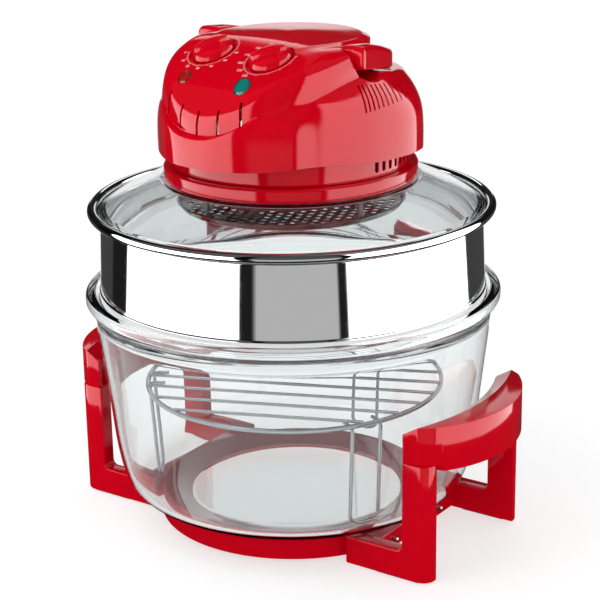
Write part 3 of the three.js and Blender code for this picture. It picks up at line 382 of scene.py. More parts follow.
def makeRedPlastic():
    # ABS moulded in a polished tool: deep red, wet gloss, the faint unevenness of a moulding
    material, tree, shader, place = newMaterial("mouldedAbsRed", IOR=1.53, **{"Specular Tint": srgb("#ffbcbf")})
    twoTones(tree, shader, noiseAt(tree, place, 38, 3), "#c60016", "#cf001b")
    texture(tree, shader, noiseAt(tree, place, 7), 0.05, 0.1, noiseAt(tree, place, 5, 1), 0.004, 0.5)
    return material


def makeGlass(name, tint):
    # pressed soda-lime glass: clear, thick, a trace of waviness from the mould
    material, tree, shader, place = newMaterial(name, IOR=1.5, Roughness=0.0, **{
        "Transmission Weight": 1.0, "Base Color": srgb(tint)})
    slow = noiseAt(tree, place, 26, 1)
    waves = addNode(tree, "ShaderNodeBump", {"Strength": 0.35, "Distance": 0.02 * mm, "Height": slow})
    tree.links.new(waves.outputs[0], shader.inputs["Normal"])
    return material


def makeMirrorSteel():
    # 18/0 stainless sheet polished to a mirror: lathe lines run round it, finer than the eye sees
    material, tree, shader, place = newMaterial("mirrorPolishedSteel", Metallic=1.0, **{
        "Base Color": srgb("#dcdcdd")})
    lines = noiseAt(tree, place, 1.2, 2, (0.02, 0.02, 1))  # real lines are about 0.1 mm apart
    texture(tree, shader, lines, 0.025, 0.06, lines, 0.0015, 0.3)
    return material


def makeSheetSteel(name, tone, low, high, sizeMm):
    material, tree, shader, place = newMaterial(name, Metallic=1.0, **{"Base Color": srgb(tone)})
    grain = noiseAt(tree, place, sizeMm, 3)
    texture(tree, shader, grain, low, high, grain, 0.01, 0.3)
    return material


def makePlain(name, tone, dark, low, high, sizeMm, depthMm, **values):  # two tones and a fine texture
    material, tree, shader, place = newMaterial(name, **values)
    grain = noiseAt(tree, place, sizeMm, 3)
    twoTones(tree, shader, grain, tone, dark)
    texture(tree, shader, grain, low, high, grain, depthMm, 0.5)
    return material


redPlastic = makeRedPlastic()
bowlGlass = makeGlass("clearBowlGlass", "#f8fbfb")
lidGlass = makeGlass("clearLidGlass", "#f6f9f9")
mirrorSteel = makeMirrorSteel()
# chrome plated wire: bright, with the slight pull marks of drawn wire
chromeWire = makeSheetSteel("chromePlatedWire", "#b0b2b5", 0.06, 0.16, 2.5)
# zinc plated steel: grey, satin, cloudy
zincSteel = makeSheetSteel("zincPlatedSteel", "#a9adb0", 0.25, 0.42, 3)
# polished stainless guard, a little darker from the heat
heatedSteel = makeSheetSteel("stainlessGuard", "#5c5b5a", 0.1, 0.24, 9)
# rolled aluminium, matt
aluminium = makeSheetSteel("rolledAluminium", "#b6b8ba", 0.3, 0.45, 4)
# moulded rubber: nearly black, matt, fine grain
rubber = makePlain("mouldedRubber", "#1b1b1c", "#232324", 0.75, 0.9, 0.8, 0.03)
# silicone seal: matt, dusty dark red
silicone = makePlain("siliconeSeal", "#8a1420", "#7c101b", 0.55, 0.7, 1.5, 0.02)
# glass filled nylon: black, satin, faint flow marks
blackNylon = makePlain("mouldedNylonBlack", "#1c1c1e", "#242426", 0.42, 0.55, 2, 0.02)
# steatite: unglazed white ceramic
steatite = makePlain("unglazedSteatite", "#e6dfd2", "#dcd4c5", 0.5, 0.65, 1.5, 0.02)
# quartz tube with a brown ruby coat, glossy
lampQuartz = makePlain("coatedQuartz", "#3a1d14", "#2c1610", 0.06, 0.14, 12, 0.005, IOR=1.46)
# clear tinted acrylic lenses
redLens = makePlain("tintedAcrylicRed", "#a81808", "#8c1006", 0.05, 0.1, 3, 0.005, IOR=1.49)
greenLens = makePlain("tintedAcrylicGreen", "#0c7a70", "#08655e", 0.05, 0.1, 3, 0.005, IOR=1.49)
# pad printing ink, flat and slightly warm white
whiteInk = makePlain("padPrintInk", "#efdcdc", "#e9d2d2", 0.4, 0.5, 2, 0.002)
print("finishes")


# stand: moulded ring under the bowl

standRing = {"outerR": 115, "wall": 3, "innerR": 90, "bottom": 3, "top": 22, "seatTop": 14, "edge": 1.6}


def makeStandRing():
    v = standRing
    top, seat, wallR = v["top"] - 0.3, v["seatTop"] - 0.3, v["outerR"] - v["wall"]
    outline = rounded([
        (wallR, v["bottom"], 0.8), (v["outerR"], v["bottom"], 0.8), (v["outerR"], top, v["edge"]),
        (v["innerR"], seat, 1), (v["innerR"], seat - v["wall"], 0.6), (wallR, top - 1 - v["wall"], 1)], steps=6)
    return dress(lathe("standRing", outline), redPlastic, "stand", ["stand_ring"])


makeStandRing()


# side frames: two posts on foot bars, joined by a web beside the ring

sideFrame = {"barStart": 98.5, "postInner": 150, "postOuter": 174.5, "outerY": 75, "innerY": 62, "floor": 1,
             "barTop": 24.5, "top": 99, "corner": 11, "inCorner": 5, "edge": 1.5, "webLow": 3, "webHigh": 19,
             "webEnd": 118.5}
bowlLine = smoothLine([(88, 14), (115, 22), (131.9, 28), (139.6, 33.9), (145.35, 45), (149.9, 65.7),
                       (154.4, 106.3), (163.5, 180)], 6)


def makeSideFrame(side, name):
    v = sideFrame
    halves = []
    for row in (-1, 1):
        corner = v["postOuter"] - v["corner"]
        plan = [(v["barStart"], -v["outerY"])] + arc(corner, v["corner"] - v["outerY"], v["corner"], -90, 0, 14)
        plan += [(v["postOuter"], -v["innerY"]), (v["barStart"], -v["innerY"])]
        post = prism("post", [(side * x, row * -y if row > 0 else y) for x, y in plan], v["floor"], v["top"])
        space = rounded([(v["barStart"] - 5, v["barTop"]), (v["postInner"], v["barTop"], v["inCorner"]),
                         (v["postInner"], 120), (v["barStart"] - 5, 120)], steps=6)
        cut = prism("space", [(side * x, z) for x, z in space], -100, 100, "y")
        halves.append(softened(carve(post, [cut]), v["edge"], 3, 40))
    web = prism("web", [(side * v["barStart"], -v["innerY"] - 2), (side * v["webEnd"], -v["innerY"] - 2),
                        (side * v["webEnd"], v["innerY"] + 2), (side * v["barStart"], v["innerY"] + 2)],
                v["webLow"], v["webHigh"])
    web = softened(web, 1, 2)
    piece = carve(halves[0], [halves[1], web], "UNION")
    ring = lathe("ring", [(0, -5), (115.3, -5), (115.3, 120), (0, 120)], 128)
    bowl = lathe("bowl", [(0, 13.7)] + [(r, z - 0.3) for r, z in bowlLine] + [(0, 179.7)], 128)
    piece = evenShading(carve(piece, [ring, bowl]))
    piece.name = name
    return dress(piece, redPlastic, "stand", [f"side_frame_{name.split('_')[-1]}"], 40)


makeSideFrame(-1, "sideFrame_left")
makeSideFrame(1, "sideFrame_right")


# handle bars: bowed outwards, with a broad slope on the inner top

handleBar = {"reach": 200, "outerArc": 103, "innerX": 165, "innerArc": 190, "bottom": 94, "top": 130,
             "slopeDrop": 8.5, "slopeWidth": 13, "corner": 11, "outerY": 75, "seat": 99.3, "edge": 1.6}


def makeHandleBar(side, name):
    v = handleBar
    outerC, innerC = v["reach"] - v["outerArc"], v["innerX"] - v["innerArc"]
    postOuter, postInner, innerY = sideFrame["postOuter"], sideFrame["postInner"], sideFrame["innerY"]
    end = math.degrees(math.asin((v["outerY"] - v["corner"] / 2) / v["outerArc"]))
    inner = math.degrees(math.asin(v["outerY"] / v["innerArc"]))
    plan = [(innerC + v["innerArc"] * math.cos(math.radians(inner)), -v["outerY"], 2)]
    plan += [(postOuter - v["corner"] + 0.5, -v["outerY"], 9)]
    plan += arc(outerC, 0, v["outerArc"], -end, end, 40)
    plan += [(postOuter - v["corner"] + 0.5, v["outerY"], 9)]
    plan += [(innerC + v["innerArc"] * math.cos(math.radians(inner)), v["outerY"], 2)]
    plan += arc(innerC, 0, v["innerArc"], inner, -inner, 32)[1:-1]
    bar = prism(name, [(side * x, y) for x, y in rounded(plan, steps=8)], v["bottom"], v["top"])
    low, rise = v["top"] - v["slopeDrop"], v["slopeWidth"] / v["slopeDrop"]
    cone = lathe("cone", [(0, low), (v["innerArc"], low),
                          (v["innerArc"] + v["slopeWidth"] + 2 * rise, v["top"] + 2),
                          (0, v["top"] + 2)], 256)
    cone.data.transform(Matrix.Translation((side * innerC * mm, 0, 0)))
    seats = []
    for row in (-1, 1):
        near, far = innerY - 0.3, v["outerY"] + 3
        seats.append(prism("seat", [(side * (postInner - 12), row * near), (side * 210, row * near),
                                    (side * 210, row * far), (side * (postInner - 12), row * far)],
                           v["bottom"] - 2, v["seat"]))
    bar = evenShading(softened(carve(bar, [cone] + seats), v["edge"], 3, 24))
    bar.name = name
    return dress(bar, redPlastic, "stand", [f"handle_bar_{name.split('_')[-1]}"], 40)


makeHandleBar(-1, "handleBar_left")
makeHandleBar(1, "handleBar_right")
print("stand")


# glass bowl: conical foot, full wall, heavy rim with a ledge inside for the ring

bowlShape = {"rimR": 170, "rimTop": 198.6, "wall": 5, "bottom": 14, "footR": 88, "ledgeR": 158.9,
             "ledgeZ": 193.4, "ledgeInnerR": 153, "neckZ": 189.6}


def offsetLine(line, distance):  # a line moved to its left
    p = np.array(line, float)
    step = np.gradient(p, axis=0)
    step /= np.linalg.norm(step, axis=1)[:, None]
    return [tuple(q) for q in p + distance * np.column_stack([-step[:, 1], step[:, 0]])]


def makeBowl():
    v = bowlShape
    outer = smoothLine([(100, 17.55), (115, 22), (131.9, 28), (139.6, 33.9), (145.35, 45), (149.9, 65.7),
                        (154.4, 106.3), (159.5, 150), (163.3, 180), (165, 186.5)], 8)
    inner = offsetLine([p for p in outer if p[1] < 172], v["wall"])
    outline = [(0, v["bottom"]), (v["footR"], v["bottom"], 6)] + outer
    outline += [(168, v["neckZ"], 2), (v["rimR"], v["neckZ"] + 2.5, 2.5), (v["rimR"], v["rimTop"], 3.2)]
    outline += [(161.4, v["rimTop"], 2.2), (v["ledgeR"], v["ledgeZ"], 0.8)]
    outline += [(v["ledgeInnerR"], v["ledgeZ"], 1.6), (153.6, 186, 5), (157.6, 176, 8)] + inner[::-1]
    outline += [(v["footR"], v["bottom"] + v["wall"], 8), (0, v["bottom"] + v["wall"])]
    piece = lathe("glassBowl", rounded(outline, closed=False), 224)
    return dress(piece, bowlGlass, "bowl", ["glass_bowl"], 60)


makeBowl()


# steel ring: foot flange, crease, tapered wall, ledge for the lid and a rolled bead

steelRing = {"footZ": 193.7, "top": 270.4, "sheet": 1.2, "flangeR": 158.3, "footR": 153.5,
             "wallFootR": 157.3, "wallTopR": 155.5, "creaseZ": 201.7, "ledgeZ": 261.0, "beadR": 4,
             "beadCentreR": 161.3, "beadInnerR": 157.3}


def makeSteelRing():
    v = steelRing
    s, beadZ = v["sheet"], v["top"] - v["beadR"]
    outline = [(v["footR"], v["footZ"], 0.4), (v["flangeR"], v["footZ"], 1.2),
               (v["flangeR"], v["creaseZ"] - s, 0.8),
               (v["wallFootR"], v["creaseZ"], 1.2), (v["wallTopR"], v["ledgeZ"], 1.4),
               (v["beadInnerR"] + s, v["ledgeZ"], 1.0)]
    outline += arc(v["beadCentreR"], beadZ, v["beadR"], 225, -180, 32)[:-1]
    outline += [(v["beadInnerR"], beadZ), (v["beadInnerR"], v["ledgeZ"] + s, 0.6),
                (v["wallTopR"] - s, v["ledgeZ"] + s, 1.2), (v["wallFootR"] - s, v["creaseZ"], 1.2),
                (v["flangeR"] - s, v["footZ"] + 2 * s, 1), (v["footR"], v["footZ"] + s, 0.4)]
    piece = lathe("steelRing", rounded(outline), 256)
    return dress(piece, mirrorSteel, "extension", ["extension_ring"], 40)


makeSteelRing()


# glass lid: low dome with a flat collar that the head is clamped to

lidShape = {"edgeR": 156.24, "edgeZ": 262.5, "edgeTop": 266.9, "shoulder": (153.24, 268.4), "collarR": 104,
            "collarTop": 291.5, "holeR": 95, "thickness": 4,
            "domeShares": ((0.716, 0.42), (0.452, 0.645), (0.189, 0.86))}


def makeLid():
    v = lidShape
    span, rise = v["edgeR"] - v["collarR"], v["collarTop"] - v["edgeZ"]
    dome = [(v["collarR"] + r * span, v["edgeZ"] + z * rise) for r, z in v["domeShares"]]
    line = smoothLine([v["shoulder"], *dome, (v["collarR"], v["collarTop"])], 8)
    under = offsetLine(line, v["thickness"])[::-1]
    top = v["collarTop"]
    outline = [(v["edgeR"], v["edgeZ"], 0.8), (v["edgeR"], v["edgeTop"], 2)] + line
    outline += [(v["holeR"], top, 0.6), (v["holeR"], top - v["thickness"], 0.6)]
    outline += [(v["collarR"] - 1, top - v["thickness"])] + under[2:-1] + [(v["edgeR"] - 4.4, v["edgeZ"], 0.8)]
    piece = lathe("glassLid", rounded(outline), 224, head=True)
    return dress(piece, lidGlass, "lid_and_head", ["glass_lid"], 60)


makeLid()
print("bowl, ring and lid")


# head base, slotted band, seal and clamp ring

headBase = {"outerR": 102.5, "bottom": 294.1, "skirtLow": 291.8, "skirtR": 101.7, "top": 302.4, "wallR": 93.5,
            "floorTop": 298.1, "holeR": 30}
ventBand = {"outerR": 96, "wall": 2, "bottom": 302.6, "top": 326.9}
bandSlots = {"count": 8, "width": 4.2, "firstDeg": -3.2, "pitchDeg": 4.9, "top": 316.6, "longest": 10,
             "innerR": 91, "depth": 8}


def slotTree():  # rounded slots in a row round the Z axis, mirrored on the other side if asked, cut out
    tree, given = newTree("slotRow", Count="Int", First="Float", Pitch="Float", Pitch_growth="Float",
                          Inner_radius="Float", Depth="Float", Width="Float", Top="Float", Top_step="Float",
                          Bow="Float", Longest="Float", Shortest="Float", Mirrored="Bool", Turn="Float",
                          Finish="Material")
    node = partial(addNode, tree)
    index = node("GeometryNodeInputIndex")
    last = node("ShaderNodeMath", (given["Count"], 1.0), operation="SUBTRACT")
    length = node("ShaderNodeMapRange", (index, 0.0, last, given["Longest"], given["Shortest"]))
    fromMiddle = node("ShaderNodeMath", (last, -0.5, index), operation="MULTIPLY_ADD")
    squared = node("ShaderNodeMath", (fromMiddle, fromMiddle), operation="MULTIPLY")
    top = node("ShaderNodeMath", (squared, given["Bow"], given["Top"]), operation="MULTIPLY_ADD")
    lower = node("ShaderNodeMath", (index, given["Top step"]), operation="MULTIPLY")
    top = node("ShaderNodeMath", (top, lower), operation="SUBTRACT")
    middle = node("ShaderNodeMath", (length, -0.5, top), operation="MULTIPLY_ADD")
    pitch = node("ShaderNodeMath", (index, given["Pitch growth"], given["Pitch"]), operation="MULTIPLY_ADD")
    angle = node("ShaderNodeMath", (index, pitch, given["First"]), operation="MULTIPLY_ADD")
    corner = node("ShaderNodeMath", (given["Width"], 0.495), operation="MULTIPLY")
    outline = node("GeometryNodeCurvePrimitiveQuadrilateral",
                   {"Width": given["Width"], "Height": given["Longest"]})
    outline = node("GeometryNodeFilletCurve", {
        "Curve": outline, "Limit Radius": True, "Count": 5, "Radius": corner}, mode="POLY")
    outer = node("ShaderNodeMath", (given["Inner radius"], given["Depth"]), operation="ADD")
    line = node("GeometryNodeCurvePrimitiveLine", {
        "Start": node("ShaderNodeCombineXYZ", (given["Inner radius"],)),
        "End": node("ShaderNodeCombineXYZ", (outer,))})
    bar = node("GeometryNodeCurveToMesh", {"Fill Caps": True, "Curve": line, "Profile Curve": outline})
    row = node("GeometryNodeMeshLine", {"Count": given["Count"], "Offset": (0, 0, 0)})
    place = node("GeometryNodeSetPosition", {
        "Geometry": row, "Position": node("ShaderNodeCombineXYZ", {"Z": middle})})
    share = node("ShaderNodeMath", (length, given["Longest"]), operation="DIVIDE")
    stretch = node("ShaderNodeCombineXYZ", (1.0, 1.0, share))
    mirror = node("ShaderNodeMath", (math.pi, angle), operation="SUBTRACT")
    first, other = [node("GeometryNodeInstanceOnPoints", {
        "Points": place, "Instance": bar, "Scale": stretch, "Rotation": node("ShaderNodeCombineXYZ", {
            "Z": node("ShaderNodeMath", (turn, given["Turn"]), operation="ADD")})}) for turn in (angle, mirror)]
    both = node("GeometryNodeJoinGeometry", (other,))
    tree.links.new(first.outputs[0], both.inputs[0])
    pick = node("GeometryNodeSwitch", {"Switch": given["Mirrored"], "False": first, "True": both},
                input_type="GEOMETRY")
    real = node("GeometryNodeRealizeInstances", (pick,))
    cut = node("GeometryNodeMeshBoolean", (given["Geometry"], real), operation="DIFFERENCE", solver="MANIFOLD")
    return endTree(tree, cut, given["Finish"])


slotRow = slotTree()


def cutRow(obj, tree, **values):  # a Geometry Nodes tree put on a piece with its sizes, then made plain mesh
    step = obj.modifiers.new(tree.name, "NODES")
    step.node_group = tree
    for item in tree.interface.items_tree:
        key = item.name.replace(" ", "_")
        if item.in_out == "INPUT" and key in values:
            step[item.identifier] = values[key]
    return finished(obj)


def cutSlots(obj, v, mirrored=False):  # a row of slots with these sizes cut into a piece of the head
    return cutRow(
        obj, slotRow, Count=v["count"], First=math.radians(v["firstDeg"]), Pitch=math.radians(v["pitchDeg"]),
        Pitch_growth=math.radians(v.get("growthDeg", 0)), Inner_radius=v["innerR"] * mm, Depth=v["depth"] * mm,
        Width=v["width"] * mm, Top=v["top"] * mm, Top_step=v.get("topStep", 0) * mm, Bow=v.get("bow", 0) * mm,
        Longest=v["longest"] * mm, Shortest=v.get("shortest", v["longest"]) * mm, Mirrored=mirrored,
        Turn=headTurn, Finish=redPlastic)


def makeHeadBase():
    v = headBase
    outline = rounded([
        (v["holeR"], v["bottom"], 0.5), (v["skirtR"], v["bottom"]), (v["skirtR"], v["skirtLow"]),
        (v["outerR"], v["skirtLow"], 0.3), (v["outerR"], v["top"] - 1.3, 1.8),
        (v["outerR"] - 1.3, v["top"], 0.8), (v["wallR"], v["top"], 0.6), (v["wallR"], v["floorTop"], 0.8),
        (v["holeR"], v["floorTop"], 0.5)])
    piece = lathe("headBase", outline, 224, head=True)
    return dress(piece, redPlastic, "lid_and_head", ["head_base"])


def makeVentBand():
    v = ventBand
    inner = v["outerR"] - v["wall"]
    piece = lathe("ventBand", rounded([(inner, v["bottom"], 0.4), (v["outerR"], v["bottom"], 0.6),
                                       (v["outerR"], v["top"], 0.6), (inner, v["top"], 0.4)]), 224, head=True)
    piece = cutSlots(piece, bandSlots, mirrored=True)
    return dress(piece, redPlastic, "lid_and_head", ["vent_band"])


makeHeadBase()
makeVentBand()
seal = rounded([(95.5, 291.8, 0.8), (101.5, 291.8, 0.8), (101.5, 293.8, 0.8), (95.5, 293.8, 0.8)])
dress(lathe("lidSeal", seal, 160, head=True), silicone, "lid_and_head", ["lid_seal"])
clamp = rounded([(92.6, 285.7, 0.3), (100, 285.7, 0.6), (100, 287.2, 0.6), (94.2, 287.2, 0.4),
                 (94.2, 291.8, 0.3), (92.6, 291.8, 0.3)])
clamp = lathe("clampRing", clamp, 160, head=True)
dress(clamp, zincSteel, "lid_and_head", ["lid_clamp_ring"])
print("head base")


# upper cover: a dome, the raised hood with the control panel, the core above, a ledge behind for the bail

coverShape = {
    "wall": 3, "thinWall": 0.4, "blend": 3.0,
    "ledge": ([-14, 34, 89.5], [384.3, 377.6, 373.5]), "pivotY": 2, "pivotZ": 393.5, "pocketR": 17.7,
    "pocketStart": 64.5, "crease": 1.2, "recess": 1.3, "lowR": 105, "lineTop": 365, "fadeStart": 343,
    "fadeHeight": 32, "columns": 372, "lowRows": 34, "hoodRows": 96, "crownRows": 32,
    # lower edge as degrees round from the front and heights
    "foot": ([0, 20, 31, 40, 50, 60, 68, 76, 85, 100, 115, 180],
             [315.6, 316, 316.3, 318.1, 319.1, 319.2, 318.8, 317.8, 316.6, 316.6, 316.4, 315]),
    # plan of the lower part as (x, y): a broad nose, flatter sides, round behind
    "plan": [(0, -112), (17, -110.3), (31, -106.2), (39.5, -102), (55, -92), (65.5, -84), (71, -79),
             (74.2, -74.6), (81.4, -61.8), (88.6, -49.2), (95.3, -34.9), (100.3, -17.4), (102.6, 0),
             (103.3, 20), (101.5, 35), (97, 48)],
    # lower edge of the shallow recess in the front as (x, z)
    "smile": [(0, 339.6), (12, 340.1), (22, 342), (32, 345.6), (41, 351), (50, 356.6), (60, 362.5), (75, 373),
              (110, 400)],
    "flank": [(105, 290), (105, 312), (105, 332), (104.3, 343), (102.3, 353.5), (98, 363.5), (92, 371.8),
              (86, 378.6), (80, 382.8), (60, 386), (0, 388)],
    "roof": [(104, 300), (104, 331), (103.5, 350), (102, 365), (98, 378), (92.5, 386.5), (85, 394), (76, 399.6),
             (60, 402.3), (0, 404)],
    "core": [(64.5, 300), (64.5, 400), (58, 403), (0, 406)],
    "hood": [(59, -87.6), (62.5, -83), (67, -74.5), (74.5, -59), (80.5, -41), (83, -22), (83, -8), (0, 12)],
    "panel": [(-112, 300), (-111, 334), (-108.5, 342), (-104, 351), (-96.8, 362.8), (-84.3, 377.5),
              (-70, 386.2), (-36, 401.4), (-26, 404), (-12, 405.2), (60, 409), (200, 409)]}
coverCentre = 330


def distanceTo(points, u, v):  # signed distance in mm from a closed outline, negative inside
    a = np.array(points, float)
    b = np.roll(a, -1, axis=0)
    best, inside = np.full(u.shape, 1e9), np.zeros(u.shape, bool)
    for (ax, ay), (bx, by) in zip(a, b):
        ex, ey = bx - ax, by - ay
        t = np.clip(((u - ax) * ex + (v - ay) * ey) / (ex * ex + ey * ey), 0, 1)
        best = np.minimum(best, (u - ax - t * ex) ** 2 + (v - ay - t * ey) ** 2)
        crosses = ((ay <= v) != (by <= v)) & (u < ax + (v - ay) * ex / (ey if ey else 1e-9))
        inside ^= crosses
    return np.where(inside, -1, 1) * np.sqrt(best)


def blendMin(a, b, k):
    h = np.maximum(k - np.abs(a - b), 0) / k
    return np.minimum(a, b) - h * h * k / 4


def blendMax(a, b, k):
    return -blendMin(-a, -b, k)


def bothSides(points):  # an outline of (r, z) with its mirror image
    return [*points, *[(-r, z) for r, z in points[::-1] if r > 0]]


def coverOutlines():  # the outlines made smooth, and the plan as a share of the round it comes from
    v, out = coverShape, {}
    for name in ("flank", "roof"):
        line = v[name]
        out[name] = bothSides(line[:1] + smoothLine(line[1:-1], 4) + line[-1:])
    out["panel"] = smoothLine(v["panel"][:-1], 4) + [v["panel"][-1], (200, 200), (v["panel"][0][0], 200)]
    half = len(v["plan"]) * 6 - 5
    plan = np.array(smoothLine([(-x, y) for x, y in v["plan"][3:0:-1]] + v["plan"], 6)[-half:])
    turns, reach = np.arctan2(plan[:, 0], -plan[:, 1]), np.hypot(plan[:, 0], plan[:, 1])
    out["turns"] = np.array([*turns, turns[-1] + 0.4, math.pi])
    out["stretch"] = np.array([*reach, v["lowR"], v["lowR"]]) / v["lowR"]
    side = smoothLine(v["hood"][:-1], 4)
    end = math.atan2(side[0][0], -side[0][1])
    front = []
    for turn in np.linspace(-end, end, 44)[1:-1]:
        r = v["lowR"] * np.interp(abs(turn), out["turns"], out["stretch"]) - v["recess"]
        front.append((r * math.sin(turn), -r * math.cos(turn)))
    out["hood"] = front + side + v["hood"][-1:] + [(-x, y) for x, y in side[::-1]]
    smile = np.array(smoothLine([(-x, z) for x, z in v["smile"][3:0:-1]] + v["smile"], 5))
    out["smile"] = smile[smile[:, 0] >= 0]
    return out


coverLines = coverOutlines()


def coverForm(x, y, z):  # how far a point is outside the cover's outer form
    v, lines = coverShape, coverLines
    k, r = v["blend"], np.hypot(x, y)
    fade = np.clip((z - v["fadeStart"]) / v["fadeHeight"], 0, 1)
    stretch = np.interp(np.arctan2(np.abs(x), -y), lines["turns"], lines["stretch"])
    stretch = 1 + (stretch - 1) * (1 - fade * fade * (3 - 2 * fade))
    flank = distanceTo(lines["flank"], r / stretch, z)
    edge = np.interp(np.abs(x), *lines["smile"].T) + 3 * np.maximum(0, y + 45)
    flank = blendMax(flank, 0.85 * (z - edge), 0.6)
    ledge = np.interp(y, *v["ledge"])
    behind = blendMax(ledge - z, -(y + 0.186 * np.abs(x)) * 0.98, 1.5)
    flank = blendMax(flank, -behind, 2.0)
    pocket = np.minimum(v["pocketR"] - np.hypot(y - v["pivotY"], z - v["pivotZ"]), np.abs(x) - v["pocketStart"])
    hood = blendMax(distanceTo(lines["hood"], x, y), distanceTo(lines["roof"], r, z), 2 * k)
    form = blendMax(blendMin(flank, hood, v["crease"]), pocket, 1.2)
    form = blendMin(form, distanceTo(bothSides(v["core"]), r, z), 1.5)
    return blendMax(form, distanceTo(lines["panel"], y, z), k)


def coverRadius(sides, rises, depth):  # distance from the centre to the form along each direction
    sideX, sideY, up = np.cos(sides) * np.cos(rises), np.sin(sides) * np.cos(rises), np.sin(rises)
    low, high = np.full(up.shape, 20.0), np.full(up.shape, 135.0)
    for _ in range(15):
        middle = (low + high) / 2
        out = coverForm(sideX * middle, sideY * middle, coverCentre + up * middle) > -depth
        high, low = np.where(out, middle, high), np.where(out, low, middle)
    return low


def coverFoot(sides, depth):  # rise angle where the form meets its lower edge
    fromFront = np.degrees(np.arctan2(np.abs(np.cos(sides)), -np.sin(sides)))
    edge = np.interp(fromFront, *coverShape["foot"]) - coverCentre
    rises = np.full(sides.shape, -0.1)
    for _ in range(12):
        rises = np.arctan2(edge, coverRadius(sides, rises, depth) * np.cos(rises))
    return rises


def coverPoints(sides, rises, depth):
    reach = coverRadius(sides, rises, depth)
    flat = reach * np.cos(rises)
    return np.stack([flat * np.cos(sides), flat * np.sin(sides), coverCentre + reach * np.sin(rises)], -1)


def makeCoverShell():
    v = coverShape
    back = math.radians(10.6)
    turns = np.linspace(-math.pi, math.pi, v["columns"], endpoint=False)
    fine = np.linspace(-0.035, 0.035, 11)
    sides = np.unique(np.round(np.concatenate([turns, -back + fine, back - math.pi + fine]), 5))
    foot = coverFoot(sides, 0)
    fromFront = np.arctan2(np.abs(np.cos(sides)), -np.sin(sides))
    stretch = np.interp(fromFront, coverLines["turns"], coverLines["stretch"])
    beside = np.abs(np.cos(sides)) * v["lowR"] * stretch
    line = np.minimum(np.interp(beside, *coverLines["smile"].T), v["lineTop"])
    line = np.where(np.sin(sides) < 0, line, v["lineTop"])
    below = np.full(sides.shape, 0.05)
    for _ in range(6):  # the rows of the mesh follow the lower edge of the recess
        below = np.arctan2(line - 1 - coverCentre, coverRadius(sides, below, 0) * np.cos(below))
    middle = np.arctan2(line - coverCentre, (line - 1 - coverCentre) / np.tan(below))
    nearLine = np.radians([-0.6, -0.3, -0.15, -0.07, -0.02, 0.02, 0.06, 0.1, 0.15, 0.22, 0.32, 0.5, 0.8])
    start, end = middle + nearLine[0], middle + nearLine[-1]
    low = np.linspace(0, 1, v["lowRows"], endpoint=False)
    high = np.concatenate([np.linspace(0, 0.5, v["hoodRows"])[1:], np.linspace(0.5, 0.985, v["crownRows"])[1:]])
    rises = np.concatenate([foot + (start - foot) * low[:, None], middle + nearLine[:, None],
                            end + (math.pi / 2 - end) * high[:, None]])
    outer = coverPoints(np.broadcast_to(sides, rises.shape), rises, 0)
    sparse = np.array([0, 0.05, 0.088, 0.094, *np.linspace(0.12, 0.985, 20)])
    # thin where it laps over the slotted band
    depth = np.where(sparse < 0.09, v["thinWall"], v["wall"])[:, None]
    footIn = coverFoot(sides, v["thinWall"])
    risesIn = footIn[None, :] + (math.pi / 2 - footIn)[None, :] * sparse[:, None]
    inner = coverPoints(np.broadcast_to(sides, risesIn.shape), risesIn, depth)
    n, rows = len(sides), len(rises) + len(sparse)
    verts = np.concatenate([inner[::-1].reshape(-1, 3), outer.reshape(-1, 3),
                            [(0, 0, inner[-1, 0, 2]), (0, 0, outer[-1, 0, 2])]])
    faces = gridFaces(rows, n)
    last = (rows - 1) * n
    faces += [((j + 1) % n, j, rows * n) for j in range(n)]
    faces += [(last + j, last + (j + 1) % n, rows * n + 1) for j in range(n)]
    return meshObject("upperCover", verts, faces, head=True)


def onHead(obj, x, y, z, slope=0.0, turn=0.0):  # a piece made round the origin set on the head, mm and radians
    obj.data.transform(Matrix.Rotation(headTurn, 4, "Z") @ Matrix.Translation(Vector((x, y, z)) * mm) @
                       Matrix.Rotation(slope, 4, "X") @ Matrix.Rotation(turn, 4, "Z"))
    return obj


def onPanel(obj, seat, side, turn=0.0):  # a piece set at one of the two places of a seat on the panel
    return onHead(obj, side * seat["x"], seat["y"], seat["z"], seat["slope"], turn)


dials = {"x": 31, "y": -52.7, "z": 393.9, "slope": math.radians(24.1), "wellR": 19, "wellDepth": 2.2,
         "wellEdge": 0.7, "holeR": 4}
lenses = {"x": 31, "y": -84.3, "z": 377.5, "slope": math.radians(50.9), "redR": 5.4, "greenR": 7, "rim": 0.6}
glandSeat = {"y": 120, "z": 341, "holeR": 8.3, "deep": 30}
grooves = {"count": 13, "width": 1.6, "firstDeg": -11.2, "pitchDeg": 2.3, "growthDeg": 0.085, "top": 375.5,
           "topStep": 0.3, "longest": 20, "shortest": 11, "innerR": 81, "depth": 28}
frontSlots = {"count": 5, "width": 2.3, "firstDeg": -111.5, "pitchDeg": 11, "top": 358.2, "bow": 2.5,
              "longest": 18.6, "innerR": 94, "depth": 18}


